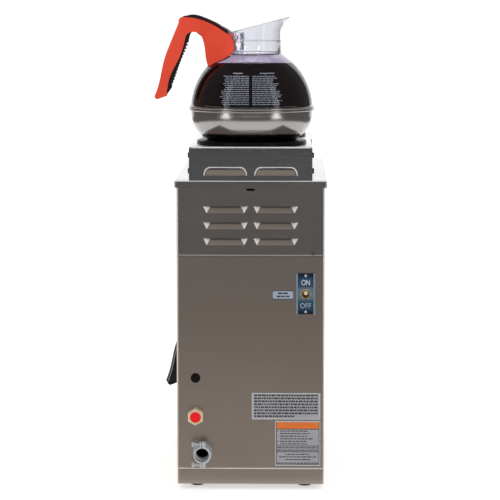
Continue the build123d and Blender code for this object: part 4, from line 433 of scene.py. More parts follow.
# %% Moulded plastics and rubber
def moulded(name, code, shade, roughness, grain=0.15, scale=1400.0, specular=0.5):
    """Plastic whose colour runs from code to shade in slow clouds, with mould grain of scale cycles a metre."""
    material, tree = start_material(name)
    place = own_place(tree)
    clouds = noise(tree, place, 24.0, 4.0)
    tone = two_tone(tree, clouds, 0.35, shade, 0.65, code)
    gloss = spread(tree, clouds, 0.3, 0.7, max(0.03, roughness - 0.04), roughness + 0.04)
    grained = relief(tree, noise(tree, place, scale), grain, 0.00015)
    return end_material(
        material, surface(tree, Base_Color=tone, Roughness=gloss, Specular_IOR_Level=specular, Normal=grained)
    )


orange_handle = moulded("moulded_orange_polypropylene", "#E2482B", "#DB4026", 0.38)
black_handle = moulded("moulded_black_polypropylene", "#1B1B1F", "#141417", 0.34)
black_nylon = moulded("moulded_black_nylon", "#101011", "#0B0B0C", 0.5, 0.1, specular=0.2)
red_cap = moulded("moulded_red_polyethylene", "#EA1C22", "#DF151C", 0.45, 0.1, specular=0.2)
foot_rubber = moulded("moulded_foot_rubber", "#1C1B1A", "#131211", 0.6, 0.3, 900.0)
funnel_plastic = moulded("moulded_black_funnel", "#201E1D", "#171615", 0.40)
lamp_plastic = moulded("translucent_lamp_lens", "#C8502E", "#B5431F", 0.18)
silicone = moulded("white_silicone_hose", "#D8D5CE", "#CBC8C0", 0.45)
board_laminate = moulded("coated_circuit_laminate", "#2F6B42", "#285C39", 0.32)
print("plastics", len([m for m in bpy.data.materials if "moulded" in m.name]))

# %% [markdown]
# The warmer plates are steel with baked black enamel, worn nearly matt by the decanters that slide over it, with
# the soft ripple that fired enamel has.

# %% Enamelled warmers
def fired_enamel(name, code, roughness):
    """Worn enamel: dark base under a thin clear coat, with a slow ripple of 60 cycles a metre."""
    material, tree = start_material(name)
    rippled = relief(tree, noise(tree, own_place(tree), 60.0, 1.5), 0.08, 0.0008)
    worn = {"Specular_IOR_Level": 0.08, "Coat_Weight": 0.04, "Coat_Roughness": 0.12}
    return end_material(
        material, surface(tree, Base_Color=paint(code), Roughness=roughness, Normal=rippled, **worn)
    )


warmer_enamel = fired_enamel("fired_black_enamel", "#0A0A0B", 0.3)
print("warmers", warmer_enamel.name)

# %% [markdown]
# The dome is clear moulded plastic two millimetres thick, so it only shows at its edges and where it mirrors
# the set. Brewed coffee is nearly black in this depth. It touches the plastic with no air between them, so it
# has no gloss of its own there: the only mirror is the dome's outer face. The shoulder between the coffee and
# the neck has a faint lilac tint, a painted reflection.

# %% Clear dome and coffee
def clear_dome(name, shoulder_reflection_tint, low, high):
    """Clear plastic: full transmission, IOR 1.46, with faint flow lines; between two heights in mm it takes a
    tint, a painted reflection.
    """
    material, tree = start_material(name)
    place = own_place(tree)
    flowing = relief(tree, noise(tree, place, 14.0, 1.0), 0.05, 0.002)
    shoulder = nearer_than(tree, split(tree, place)["Z"], (low + high) / 2, (high - low) / 2)
    tint = mix_colours(tree, shoulder, paint("#EDEEF2"), paint(shoulder_reflection_tint))
    return end_material(
        material, surface(tree, Base_Color=tint, Roughness=0.02, IOR=1.46, Transmission_Weight=1.0, Normal=flowing)
    )


def brewed_coffee(name):
    """Nearly black liquid with a slight brown drift and no gloss of its own."""
    material, tree = start_material(name)
    tone = two_tone(tree, noise(tree, own_place(tree), 18.0), 0.0, "#120B0C", 1.0, "#1C1112")
    return end_material(material, surface(tree, Base_Color=tone, Roughness=0.9, IOR=1.0))


# The lilac colour on the dome's shoulder is a painted reflection.
dome_plastic = clear_dome("clear_moulded_dome", "#D2CBDC", 626.5, 643.0)
coffee = brewed_coffee("brewed_coffee")
print("clear parts", dome_plastic.name, coffee.name)

# %% [markdown]
# The switch plate is anodised aluminium in a steely blue, printed paler in the middle and navy at its ends, so
# its tone depends on height. The labels are printed vinyl: plain grounds with the slight mottling of a film.
# The switch itself is one solid in two materials, a black case inside and a plated bushing outside, so its
# finish changes at the panel's face. So is the handle's core: its clip round the neck is glossy black plastic,
# drawn as bright metal, a painted reflection.

# %% Switch plate and label grounds
SWITCH_X, SWITCH_Z = -80.6, 292.7


def anodised_plate(name, bands, half, inner, flange_highlight):
    """Anodised metal with fine horizontal grain. bands gives hex colours from the middle (0) to the ends (1);
    past inner millimetres from the middle of its width it has a paler colour, a painted highlight on the raised
    side flanges."""
    material, tree = start_material(name)
    place = own_place(tree)
    at = split(tree, place)
    grain = noise(tree, stretch(tree, place, (30, 30, 700)), 1.0, 3.0)
    share = maths(tree, "DIVIDE", apart_from(tree, at["Z"], SWITCH_Z), half * MM)
    uneven = maths(tree, "MULTIPLY_ADD", grain, 0.10, share)
    tone = add(tree, "ShaderNodeValToRGB", inputs={"Fac": uneven})
    ramp = tone.color_ramp.elements
    for position, code in bands:
        ramp.new(position).color = paint(code)
    ramp.remove(ramp[0])
    ramp.remove(ramp[len(ramp) - 1])
    # Beyond inner, the side flanges take a paler colour: a painted highlight.
    within = nearer_than(tree, at["X"], BODY_X + SWITCH_X, inner)
    edged = mix_colours(tree, within, paint(flange_highlight), tone.outputs["Color"])
    return end_material(material, surface(tree, Base_Color=edged, Metallic=0.55, Roughness=0.34))


def clipped_handle(name, plastic, clip, stem, reach):
    """Black moulding whose clip, nearer the stem than reach millimetres, is bright metal: a painted reflection on
    the glossy black plastic.
    """
    material, tree = start_material(name)
    place = own_place(tree)
    at = split(tree, place)
    across = add(tree, "ShaderNodeCombineXYZ", inputs={"X": at["X"], "Y": at["Y"]}).outputs[0]
    middle = (stem[0] * MM, stem[1] * MM, 0)
    apart = add(tree, "ShaderNodeVectorMath", {"operation": "DISTANCE"}, {0: across, 1: middle}).outputs["Value"]
    uneven = relief(tree, noise(tree, place, 90.0), 0.35, 0.004)
    moulding = surface(tree, Base_Color=paint(plastic), Roughness=0.36)
    metal = surface(tree, Base_Color=paint(clip), Metallic=0.9, Roughness=0.2, Normal=uneven)
    near = maths(tree, "LESS_THAN", apart, reach * MM)
    return end_material(material, mix_surfaces(tree, near, moulding, metal))


def plated_case(name, inside, outside, face):
    """Black moulding that turns to plated metal where it stands out past the panel's face."""
    material, tree = start_material(name)
    place = own_place(tree)
    beyond = maths(tree, "GREATER_THAN", split(tree, place)["Y"], face * MM)
    skin = relief(tree, noise(tree, place, 1200.0), 0.1, 0.0001)
    case = surface(tree, Base_Color=paint(inside), Roughness=0.42, Normal=skin)
    plating = surface(tree, Base_Color=paint(outside), Metallic=1.0, Roughness=0.24, Normal=skin)
    return end_material(material, mix_surfaces(tree, beyond, case, plating))


PLATE_BANDS = ((0.05, "#8C9CA6"), (0.28, "#7C909F"), (0.42, "#43627F"), (0.80, "#37566F"), (0.93, "#1B2E42"))
# The plate's pale colour at its sides is a painted highlight on its flanges.
blue_plate = anodised_plate("blue_anodised_plate", PLATE_BANDS, 30.15, 11.4, "#8FA9B8")
switch_case = plated_case("plated_switch_case", "#161617", "#B79C6A", REAR_Y)
nickel = small_metal("nickel_plated_nut", "#CFC8B6", 0.22, metallic=0.55)
lever_metal = small_metal("chromed_brass_lever", "#E9DCBC", 0.2, metallic=0.5)
# The clip's bright lilac metal is a painted reflection.
handle_core = clipped_handle("black_handle_with_clip", "#1B1B1F", "#D5CFE0", UPPER_WARMER, 47.5)
label_grey = moulded("printed_grey_vinyl", "#9F9FA4", "#98989D", 0.5, 0.05)
label_blue = moulded("printed_pale_blue_vinyl", "#93A0AE", "#8A97A6", 0.45, 0.05)
print("grounds", blue_plate.name, label_grey.name, label_blue.name)

# %% [markdown]
# Every solid now gets its finish. A solid keeps its mesh, and only its material is changed.

# %% Finishes on the solids
FINISHES = {
    body_steel: ["base_shell", "base_plate", "trunk_shell", "rear_panel", "head_floor", "front_fascia",
                 "funnel_rails", "tank", "tank_lid"],
    hood_steel: ["hood_shell"],
    box_steel: ["warmer_box"],
    top_steel: ["top_cover"],
    bowl_steel: ["rear_decanter_bowl", "lower_decanter_bowl", "spray_head", "funnel_rack"],
    cast_zinc: ["cable_clamp", "clamp_saddle"],
    plated_steel: ["clamp_screws"],
    dull_screws: ["foot_screws", "housing_screws"],
    lever_metal: ["toggle_lever"],
    nickel: ["toggle_nut"],
    switch_case: ["toggle_body"],
    turned_brass: ["inlet_fitting", "inlet_valve"],
    drawn_copper: ["inlet_tube"],
    heater_sheath: ["tank_heater", "thermostat_probe", "warmer_elements"],
    warmer_enamel: ["upper_rear_warmer", "upper_front_warmer", "lower_warmer"],
    foot_rubber: ["feet"],
    black_nylon: ["hole_plug", "switch_frames", "start_rocker", "rear_warmer_rocker",
                  "front_warmer_rocker", "lower_warmer_rocker"],
    funnel_plastic: ["funnel", "funnel_handle"],
    handle_core: ["rear_decanter_handle_core"],
    black_handle: ["lower_decanter_handle_core", "lower_decanter_handle_cheeks"],
    orange_handle: ["rear_decanter_handle_cheeks"],
    red_cap: ["inlet_cap"],
    dome_plastic: ["rear_decanter_dome", "lower_decanter_dome"],
    coffee: ["rear_decanter_coffee"],
    label_grey: ["notice_label", "band_label"],
    label_blue: ["switch_label"],
    blue_plate: ["toggle_plate"],
    lamp_plastic: ["ready_lamp"],
    silicone: ["spray_tube"],
    board_laminate: ["control_board"],
}
for material, names in FINISHES.items():
    for name in names:
        slots = nodes[name].data.materials
        slots.clear()
        slots.append(material)
finished = {name for names in FINISHES.values() for name in names}
print("solids without a finish", sorted(set(nodes) - finished))

# %% [markdown]
# New pieces are grids of points worked out as whole arrays. A turned shape is a profile swept round the stem; the
# clear dome is one too, up to its neck, and above that each ring slides from the round neck to the rim with its
# pouring lip. One helper makes the mesh, merges points that meet at the stem and gives the piece its body.

# %% Piece helper
MERGE = 1e-6


def make_piece(name, points, faces, finish, body, crease=40.0):
    """Mesh piece from points in millimetres, smooth but for edges sharper than crease degrees."""
    mesh = bpy.data.meshes.new(name)
    mesh.from_pydata((np.asarray(points).reshape(-1, 3) * MM).tolist(), [], faces)
    work = bmesh.new()
    work.from_mesh(mesh)
    bmesh.ops.remove_doubles(work, verts=work.verts, dist=MERGE)
    work.to_mesh(mesh)
    work.free()
    mesh.polygons.foreach_set("use_smooth", np.ones(len(mesh.polygons), dtype=bool))
    mesh.set_sharp_from_angle(angle=math.radians(crease))
    mesh.materials.append(finish)
    piece = bpy.data.objects.new(name, mesh)
    bpy.context.scene.collection.objects.link(piece)
    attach(piece, body)
    return piece


def face_outward(piece):
    """Turns the faces of a closed piece outward and gives the piece back."""
    work = bmesh.new()
    work.from_mesh(piece.data)
    bmesh.ops.recalc_face_normals(work, faces=work.faces)
    work.to_mesh(piece.data)
    work.free()
    return piece


def turned(profile, columns=160):
    """Rings of a profile of (radius, height) pairs: (r cos a, r sin a, z) for columns angles a."""
    profile = np.asarray(profile, dtype=float)
    angle = np.linspace(0, 2 * np.pi, columns, endpoint=False)
    radius, height = profile[:, :1], profile[:, 1:]
    return np.stack([radius * np.cos(angle), radius * np.sin(angle), height + 0 * angle], axis=-1)


def arc_centre(start, end, radius):
    """Centre of the arc from start up to end that bulges away from the stem."""
    start, end = np.array(start), np.array(end)
    run = end - start
    half = np.hypot(*run) / 2
    back = math.sqrt(radius**2 - half**2)
    return (start + end) / 2 + np.array([-run[1], run[0]]) * back / (2 * half)


def arc_profile(centre, radius, heights):
    """Pairs of radius and height along an arc about centre at the given heights."""
    heights = np.asarray(heights, dtype=float)
    return np.stack([centre[0] + np.sqrt(radius**2 - (heights - centre[1]) ** 2), heights], axis=-1)


print("a ring of 160 points is", turned([(1, 0)]).shape)

# %% [markdown]
# The dome snaps into the bowl's band, rises in one arc to the neck and carries two moulded rings there. Its walls
# are both modelled, because the distance between them is what bends the light into dark outlines. The neck's top
# is cut on a slant, and its front is drawn out into a lip: the further round from the sides, the further out,
# as the 3.3rd power of the turn, which fits the solid's own rim.

# %% Clear dome with neck and spout
BOWL_FOOT, BOWL_RIM, BOWL_TOP, BOWL_CURVE, BOWL_WALL = 65.3, 90.2, 43.3, 46.2, 1.2
BAND_TOP = 50.4
DOME_FOOT, DOME_CURVE, DOME_WALL, DOME_LIP = 90.5, 95.5, 2.0, 5.8
NECK_RADIUS, NECK_BOTTOM = 43.3, 128.0
NECK_RINGS = (131.0, 146.5)
FLARE_HEIGHTS = (151.5, 158.0)
RIM_HEIGHTS = (155.6, 181.4)
SPOUT_REACH = 56.0
BOWL_CENTRE = arc_centre((BOWL_FOOT, 0), (BOWL_RIM, BOWL_TOP), BOWL_CURVE)
BAND_INSIDE = arc_profile(BOWL_CENTRE, BOWL_CURVE - BOWL_WALL, [BOWL_TOP])[0, 0]
DOME_CENTRE = arc_centre((DOME_FOOT, BAND_TOP), (NECK_RADIUS, NECK_BOTTOM), DOME_CURVE)


def slanted_ring(reach, heights, front_reach, wall, columns=160):
    """Ring whose front is drawn out to reach; its height runs evenly from the back's to the front's."""
    angle = np.linspace(0, 2 * np.pi, columns, endpoint=False)
    turn = np.clip(np.abs(angle - np.pi) * -2 / np.pi + 1, 0, 1)
    radius = NECK_RADIUS - wall + (reach - NECK_RADIUS) * turn**3.3
    x, y = radius * np.cos(angle), radius * np.sin(angle)
    back, front = heights
    z = back + (NECK_RADIUS - x) * (front - back) / (NECK_RADIUS + front_reach)
    return np.stack([x, y, z], axis=-1)


def neck_rings(wall, steps):
    """Rings from the round neck to the rim. The lip leaves upright: it grows as the 1.8th power of the rise."""
    low = slanted_ring(NECK_RADIUS, FLARE_HEIGHTS, NECK_RADIUS, wall)
    high = slanted_ring(SPOUT_REACH, RIM_HEIGHTS, SPOUT_REACH, wall)
    rise = np.linspace(0, 1, steps)[:, None]
    out = rise**1.8
    x = low[:, 0] + (high[:, 0] - low[:, 0]) * out
    y = low[:, 1] + (high[:, 1] - low[:, 1]) * out
    z = low[:, 2] + (high[:, 2] - low[:, 2]) * rise
    return np.stack([x, y, z], axis=-1)


def neck_bead(height):
    """Half-round moulded ring of 1 mm on the neck's outer wall."""
    swing = np.linspace(-np.pi / 2, np.pi / 2, 7)
    return np.stack([NECK_RADIUS + np.cos(swing), height + 0.95 * np.sin(swing)], axis=-1)


def clear_vessel():
    """Rings up the outer wall, over a rounded rim and down the inner wall, closed through the lip in the band."""
    lip_out = BAND_INSIDE - 0.1
    outer = np.concatenate([
        [(lip_out, BAND_TOP - DOME_LIP), (lip_out, BAND_TOP)],
        arc_profile(DOME_CENTRE, DOME_CURVE, np.linspace(BAND_TOP, NECK_BOTTOM - 1.2, 40)),
        [(NECK_RADIUS + 0.35, NECK_BOTTOM - 0.1), (NECK_RADIUS, NECK_BOTTOM + 1.2)],
        neck_bead(NECK_RINGS[0]),
        neck_bead(NECK_RINGS[1]),
    ])
    bore, inner_curve = NECK_RADIUS - DOME_WALL, DOME_CURVE - DOME_WALL
    throat = DOME_CENTRE[1] + math.sqrt(inner_curve**2 - (bore - DOME_CENTRE[0]) ** 2)
    inner = np.concatenate([
        [(bore, NECK_RINGS[1]), (bore, throat + 1.5)],
        arc_profile(DOME_CENTRE, inner_curve, np.linspace(throat - 1.0, BAND_TOP + DOME_WALL, 40)),
        [(lip_out - DOME_WALL, BAND_TOP + DOME_WALL), (lip_out - DOME_WALL, BAND_TOP - DOME_LIP)],
    ])
    out_neck, in_neck = neck_rings(0.0, 14), neck_rings(DOME_WALL, 14)
    swing = np.linspace(0, np.pi, 7)[1:-1, None, None]
    middle = (out_neck[-1] + in_neck[-1]) / 2
    rim = middle + (out_neck[-1] - middle) * np.cos(swing) + np.array([0, 0, 0.8]) * np.sin(swing)
    return np.concatenate([turned(outer), out_neck, rim, in_neck[::-1], turned(inner)])


def stand_on(points, place, turn=0.0):
    """Points about a decanter's stem, turned by turn degrees and moved to where the decanter stands."""
    cos, sin = math.cos(math.radians(turn)), math.sin(math.radians(turn))
    x, y, z = points[..., 0], points[..., 1], points[..., 2]
    return np.stack([x * cos - y * sin, x * sin + y * cos, z], axis=-1) + np.array(place)


vessel = clear_vessel()
vessel_faces = grid_faces(*vessel.shape[:2], wrap_rows=True, wrap_columns=True)
for body, solid, place, turn in (
    ("upper_decanter", "rear_decanter_dome", UPPER_WARMER, 0),
    ("lower_decanter", "lower_decanter_dome", LOWER_WARMER, LOWER_TURN),
):
    points = stand_on(vessel, place, turn)
    dome = make_piece(f"clear_{body}_dome", points, vessel_faces, dome_plastic, body)
    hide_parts(solid)
print("dome faces", len(vessel_faces), "top", vessel[..., 2].max().round(1))

# %% [markdown]
# The coffee is drawn as one turned body that reaches a fraction of a millimetre into the dome's wall. Light that
# crosses the wall then meets the coffee before it meets air, as it does in a full decanter. Its top climbs a
# little where it wets the wall.

# %% Brewed coffee
COFFEE_GAP, COFFEE_BITE, MENISCUS = 0.15, 0.4, 1.5
COFFEE_LEVEL = NECK_BOTTOM - 15.7


def coffee_profile():
    """Up the bowl's inside, up the dome's and in along a level top whose meniscus fades as exp(-inward / 1.8)."""
    floor = BOWL_WALL + COFFEE_GAP
    bowl = arc_profile(BOWL_CENTRE, BOWL_CURVE - BOWL_WALL - COFFEE_GAP, np.linspace(floor, BOWL_TOP, 16))
    heights = np.linspace(BAND_TOP + 2.2, COFFEE_LEVEL + MENISCUS, 30)
    dome = arc_profile(DOME_CENTRE, DOME_CURVE - DOME_WALL + COFFEE_BITE, heights)
    inward = np.linspace(0.6, 9, 8)
    top = np.stack([dome[-1, 0] - inward, COFFEE_LEVEL + MENISCUS * np.exp(-inward / 1.8)], axis=-1)
    step = BAND_INSIDE - DOME_WALL - 0.3
    band = [(step, BOWL_TOP + 0.1), (step, BAND_TOP + 2.1)]
    return np.concatenate([[(0, floor)], bowl, band, dome, top, [(0, COFFEE_LEVEL)]])


rings = stand_on(turned(coffee_profile()), UPPER_WARMER)
faces = grid_faces(*rings.shape[:2], wrap_columns=True)
brew = make_piece("brewed_coffee_fill", rings, faces, coffee, "upper_decanter")
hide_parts("rear_decanter_coffee")
print("coffee surface at", round(float(rings[..., 2].max()), 1), "mm")

# %% [markdown]
# Each of the box's two vents has a bright line round its edge, where the pressed bend catches the light. It is a
# painted highlight. It could be a lighter band in the steel's material, but the line must follow the rounded ends
# exactly, so it is a thin half-buried bead of pale metal: a circle carried along the vent's outline.

# %% Painted highlights round the vents
def vent_edge(x, half_width, height, corner, bead, steps=60):
    """Bead of radius bead along an upright edge, a quarter-ellipse corner, a top and the same again."""
    swing = np.linspace(0, np.pi / 2, 14)
    left = np.stack([-half_width + corner * (1 - np.cos(swing)), height * np.sin(swing) ** 0.9], axis=-1)
    top = np.stack([np.linspace(-half_width + corner, half_width - corner, steps)[1:-1]] * 2, axis=-1)
    top[:, 1] = height
    right = left[::-1] * [-1, 1]
    path = np.concatenate([left, top, right])
    ahead = np.gradient(path, axis=0)
    ahead /= np.linalg.norm(ahead, axis=1, keepdims=True)
    side = np.stack([-ahead[:, 1], ahead[:, 0]], axis=-1)
    turn = np.linspace(0, 2 * np.pi, 8, endpoint=False)
    flat = path[:, None, :] + bead * np.cos(turn)[None, :, None] * side[:, None, :]
    out = VENT_OUT + bead * np.sin(turn) + 0 * flat[..., 0]
    points = np.stack([BODY_X + x - flat[..., 0], REAR_Y + out, VENT_MOUTH + flat[..., 1]], axis=-1)
    count = len(path) * 8
    caps = [list(range(8))[::-1], list(range(count - 8, count))]
    return points, grid_faces(len(path), 8, wrap_columns=True) + caps


VENT_MOUTH, VENT_OUT = 466.0, 0.15
# Pale metal for painted highlights on the edges of bends.
painted_highlight_metal = small_metal("painted_highlight_stainless", "#E4DFDB", 0.4, 0.0, 900.0, 0.3)
for side in (-1, 1):
    vent_points, vent_faces = vent_edge(side * VENT_X, 30.6, 11.6, 8.5, 1.05)
    face_outward(make_piece(f"vent_edge_{side + 1}", vent_points, vent_faces, painted_highlight_metal, "housing"))
print("vent edge points", len(vent_points.reshape(-1, 3)))

# %% [markdown]
# The sheets' bends catch the light as thin bright lines, drawn here as painted highlights. Each is a slim bar of
# pale metal let into a solid's rear edge, set out from that solid's own box so that it follows the solid. The
# hood's line, a softer painted highlight, lies along its lower edge, the others along their upper ones, and the
# cover's lies further out, on its own lip.

# %% Painted highlights on the sheets' bends
def solid_box(name):
    """Lowest and highest corner of a solid, in millimetres."""
    solid = nodes[name]
    points = np.empty(len(solid.data.vertices) * 3)
    solid.data.vertices.foreach_get("co", points)
    place = np.array(solid.matrix_world)
    points = points.reshape(-1, 3) @ place[:3, :3].T + place[:3, 3]
    return points.min(axis=0) / MM, points.max(axis=0) / MM


def bend(name, start, end, radius, finish):
    """Closed eight-sided bar of a radius from start to end, which differ along one axis."""
    start, end = np.array(start, dtype=float), np.array(end, dtype=float)
    along = int(np.argmax(np.abs(end - start)))
    first, second = [axis for axis in range(3) if axis != along]
    turn = np.linspace(0, 2 * np.pi, 8, endpoint=False)
    ring = np.zeros((8, 3))
    ring[:, first], ring[:, second] = radius * np.cos(turn), radius * np.sin(turn)
    points = np.stack([start + ring, end + ring])
    faces = grid_faces(2, 8, wrap_columns=True) + [list(range(8))[::-1], list(range(8, 16))]
    face_outward(make_piece(name, points, faces, finish, "housing"))


LET_IN, BEND = 0.6, 1.05
rear = REAR_Y - LET_IN
for name in ("hood_shell", "trunk_shell"):
    low, high = solid_box(name)
    for side, x in (("left", high[0] - LET_IN), ("right", low[0] + LET_IN)):
        bend(f"{name}_{side}_bend", (x, rear, low[2] + 1), (x, rear, high[2] - 1), BEND, painted_highlight_metal)
# The hood's seam gets a softer painted highlight.
painted_soft_highlight_metal = small_metal("painted_soft_highlight_stainless", "#A79F98", 0.45, 0.0, 900.0, 0.3)
for name, solid, inset, share, finish in (
    ("hood_lower_bend", "hood_shell", 1, 0.9, painted_soft_highlight_metal), ("box_upper_bend", "warmer_box", 4, 1.0, painted_highlight_metal),
    ("cover_rear_bend", "top_cover", 1, 0.7, painted_highlight_metal), ("base_upper_bend", "base_shell", 1, 0.8, painted_highlight_metal),
):
    low, high = solid_box(solid)
    y = high[1] - LET_IN if solid == "top_cover" else rear
    z = low[2] + LET_IN if solid == "hood_shell" else high[2] - LET_IN
    bend(name, (low[0] + inset, y, z), (high[0] - inset, y, z), share * BEND, finish)
    print(solid, "box", low.round(1), high.round(1))

# %% [markdown]
# Printing is ink a twentieth of a millimetre thick. The real lines of small print can't be read at this size, and
# a reusable part carries none, so each line is a row of plain bars as long as words. Every bar is a closed slab
# with four stations along it, so the same bars also bend round the dome.

# %% Printing helpers
INK, LABEL_THICK = 0.06, 0.4
SLAB = np.array(grid_faces(4, 4, wrap_columns=True) + [[3, 2, 1, 0], [12, 13, 14, 15]])


def word_bars(start, end, heights, tall, seed, ragged=0.0):
    """Rows of bars between start and end, 1.5 to 6 mm long with 0.9 mm gaps, at the given heights."""
    chance = np.random.default_rng(seed)
    bars = []
    for height in heights:
        lengths = chance.uniform(1.5, 6.0, 60)
        ends = np.cumsum(lengths + 0.9) - 0.9
        limit = (end - start) * (1 - ragged * chance.random())
        count = max(1, int(np.searchsorted(ends, limit)))
        scale = limit / ends[count - 1]
        rights = ends[:count] * scale
        lefts = rights - lengths[:count] * scale
        middle = np.full(count, float(height))
        row = np.stack([start + lefts, start + rights, middle - tall / 2, middle + tall / 2])
        bars.append(row.T)
    return np.concatenate(bars)


def mirror_bars(bars):
    """The same bars on the other side of the middle line, so that they end in one line and start unevenly."""
    return np.stack([-bars[:, 1], -bars[:, 0], bars[:, 2], bars[:, 3]], axis=-1)


def ink_slabs(name, bars, place, finish, body="housing"):
    """Closed slabs over bars of (left, right, low, high); place turns width, height and lift into a point."""
    bars = np.asarray(bars, dtype=float)
    share = np.linspace(0, 1, 4)
    along = bars[:, :1] * (1 - share) + bars[:, 1:2] * share
    up = bars[:, [2, 2, 3, 3]]
    lift = np.array([0, INK, INK, 0])
    width = along[:, :, None] + 0 * up[:, None, :]
    height = up[:, None, :] + 0 * width
    points = place(width, height, lift + 0 * width)
    faces = (SLAB + 16 * np.arange(len(bars))[:, None, None]).reshape(-1, 4).tolist()
    face_outward(make_piece(name, points, faces, finish, body))


def on_label(x, z):
    """Placer for printing about the middle of a label; widths run to the right as seen from behind."""
    def place(width, height, lift):
        return np.stack([BODY_X + x - width, REAR_Y + LABEL_THICK + lift, z + height], axis=-1)

    return place


def on_dome(width, height, lift):
    """Placer round the rear of the upper decanter's dome, on its outer wall at each height."""
    radius = arc_profile(DOME_CENTRE, DOME_CURVE, height.ravel())[:, 0].reshape(height.shape) + lift
    x, y = -width, np.sqrt(radius**2 - width**2)
    return np.stack([x, y, height], axis=-1) + np.array(UPPER_WARMER)


white_ink = moulded("screen_printed_white_ink", "#8F94A3", "#828798", 0.5, 0.05)
black_ink = moulded("screen_printed_black_ink", "#3F3F44", "#37373C", 0.5, 0.05)
dark_ink = moulded("screen_printed_dark_ink", "#2E2E33", "#26262A", 0.5, 0.05)
orange_ink = moulded("screen_printed_orange_ink", "#E0762A", "#D66C22", 0.45, 0.05)
print("inks", white_ink.name, black_ink.name, orange_ink.name)

# %% [markdown]
# The dome carries two columns of small white print with a short heading over each. The rear panel has a grey
# notice of eight lines, a grey label with an orange band, two rules and three blocks of lines, and a small pale
# plate with a dark border beside the switch.

# %% Printed lines
NOTICE, BAND_LABEL, SWITCH_LABEL = (-52.2, 125.8), (-69.4, 70.5), (-47.4, 290.9)
dome_rows = 96.4 - 2.7 * np.arange(16)
dome_bars = np.concatenate([
    mirror_bars(word_bars(2.6, 40.5, dome_rows[:8], 0.9, 3, 0.12)),
    mirror_bars(word_bars(2.6, 45.0, dome_rows[8:], 0.9, 4, 0.1)),
    word_bars(2.4, 41.0, dome_rows[:8], 0.9, 5, 0.25),
    word_bars(2.4, 46.5, dome_rows[8:], 0.9, 6, 0.25),
    [(-26, -12, 100.0, 101.2), (13, 34, 100.0, 101.2)],
])
ink_slabs("dome_printed_lines", dome_bars, on_dome, white_ink, "upper_decanter")
notice_rows = 16.2 - 4.45 * np.arange(8)
notice_bars = np.concatenate([
    word_bars(-47.0, 46.5, notice_rows[:7], 2.7, 7),
    word_bars(-47.0, 12.0, notice_rows[7:], 2.7, 8),
])
ink_slabs("notice_printed_lines", notice_bars, on_label(*NOTICE), black_ink)
band_rows = 18.4 - 3.85 * np.arange(6)
band_bars = np.concatenate([
    word_bars(-26.0, 22.0, band_rows, 1.5, 9, 0.2),
    [(-30.2, -28.7, z - 0.7, z + 0.7) for z in band_rows[::2]],
    word_bars(-30.0, 30.0, (-6.6, -10.2), 1.5, 10),
    word_bars(-18.0, 17.0, (-16.4,), 1.5, 11),
    word_bars(-27.0, 27.0, (-20.2,), 1.5, 12),
    word_bars(-18.0, 18.0, (-24.2,), 1.5, 13),
    word_bars(-30.0, 30.0, (-29.4,), 1.3, 14),
])
band_frame = [
    (-31.0, 31.0, -4.4, -3.4), (-31.0, 31.0, -13.1, -12.1), (-32.0, -31.0, -31.6, 31.6),
    (31.0, 32.0, -31.6, 31.6), (-31.0, 31.0, -31.6, -30.6), (-31.0, 31.0, 20.8, 21.8),
]
ink_slabs("band_label_printed_lines", band_bars, on_label(*BAND_LABEL), black_ink)
ink_slabs("band_label_orange_band", [(-31.0, 31.0, 21.8, 31.6)], on_label(*BAND_LABEL), orange_ink)
pale_ink = moulded("screen_printed_pale_ink", "#C3C5CB", "#BBBDC4", 0.5, 0.05)
for name, centre, wide, tall in (("band_label", BAND_LABEL, 33.0, 33.3), ("notice", NOTICE, 50.1, 19.4)):
    inner_wide, inner_tall = wide - 0.9, tall - 0.9
    margin = [(-wide, wide, inner_tall, tall), (-wide, wide, -tall, -inner_tall)]
    margin += [(-wide, -inner_wide, -inner_tall, inner_tall), (inner_wide, wide, -inner_tall, inner_tall)]
    ink_slabs(f"{name}_pale_margin", margin, on_label(*centre), pale_ink)
ink_slabs("band_label_frame", band_frame, on_label(*BAND_LABEL), dark_ink)
switch_bars = np.concatenate([
    [(-16.5, -15.2, -6.9, 6.9), (15.2, 16.5, -6.9, 6.9), (-15.2, 15.2, -6.9, -5.6), (-15.2, 15.2, 5.6, 6.9)],
    word_bars(-7.0, 7.0, (2.4,), 2.4, 15),
    word_bars(-9.0, 9.0, (-2.2,), 2.4, 16),
])
ink_slabs("switch_label_border", switch_bars, on_label(*SWITCH_LABEL), dark_ink)
print("bars on the dome", len(dome_bars), "notice", len(notice_bars), "band label", len(band_bars))

# %% [markdown]
# The switch plate is lettered ON above the lever and OFF below it. Letters come from Blender's own font as a
# curve, which is given a little thickness, made a mesh and only then placed on the plate. A capital is 0.7 of
# the font's size.

# %% Switch lettering
PLATE_THICK = 1.0
CAPITAL = 0.7


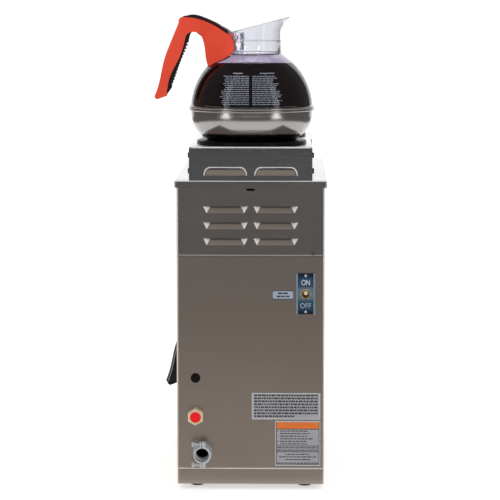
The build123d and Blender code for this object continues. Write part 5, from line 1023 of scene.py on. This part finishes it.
def lettering(name, words, tall, wide, height, finish):
    """Raised letters tall and wide in millimetres on the switch plate, with their middle at height."""
    curve = bpy.data.curves.new(name, "FONT")
    curve.body = words
    curve.align_x, curve.align_y = "CENTER", "CENTER"
    curve.size = tall / CAPITAL * MM
    curve.extrude = INK * MM
    curve.offset = -0.08 * MM
    text = bpy.data.objects.new(name, curve)
    mesh = bpy.data.meshes.new_from_object(text)
    points = np.empty(len(mesh.vertices) * 3)
    mesh.vertices.foreach_get("co", points)
    right, up, lift = points.reshape(-1, 3).T / MM
    right = (right - (right.max() + right.min()) / 2) * wide / (right.max() - right.min())
    up -= (up.max() + up.min()) / 2
    placed = np.stack([BODY_X + SWITCH_X - right, REAR_Y + PLATE_THICK + INK + lift, height + up], axis=-1)
    faces = [tuple(face.vertices) for face in mesh.polygons]
    bpy.data.objects.remove(text)
    make_piece(name, placed, faces, finish, "housing", 30.0)


letter_ink = moulded("printed_white_letters", "#E4E6EA", "#D8DBE0", 0.5, 0.05)
faint_ink = moulded("printed_worn_letters", "#A3B1BE", "#97A6B4", 0.5, 0.05)
lettering("switch_letters_on", "ON", 8.0, 12.0, SWITCH_Z + 16.7, letter_ink)
lettering("switch_letters_off", "OFF", 7.4, 15.7, SWITCH_Z - 17.5, faint_ink)
print("letters placed on the switch plate")

# %% [markdown]
# Two small pan-head screws hold the plate at its ends.

# %% Plate screws
SCREW_OFF = 26.2
PAN_HEAD = ((0, 1.3), (1.1, 1.25), (1.9, 0.85), (2.3, 0.0), (2.3, -0.4), (0, -0.4))
for number, height in enumerate((SWITCH_Z - SCREW_OFF, SWITCH_Z + SCREW_OFF)):
    across, along, out = np.moveaxis(turned(PAN_HEAD, 32), -1, 0)
    head = np.stack([BODY_X + SWITCH_X - across, REAR_Y + PLATE_THICK + out, height + along], axis=-1)
    faces = grid_faces(6, 32, wrap_columns=True)
    face_outward(make_piece(f"plate_screw_{number}", head, faces, plated_steel, "housing"))
print("plate screws", SCREW_OFF, "mm from the lever")
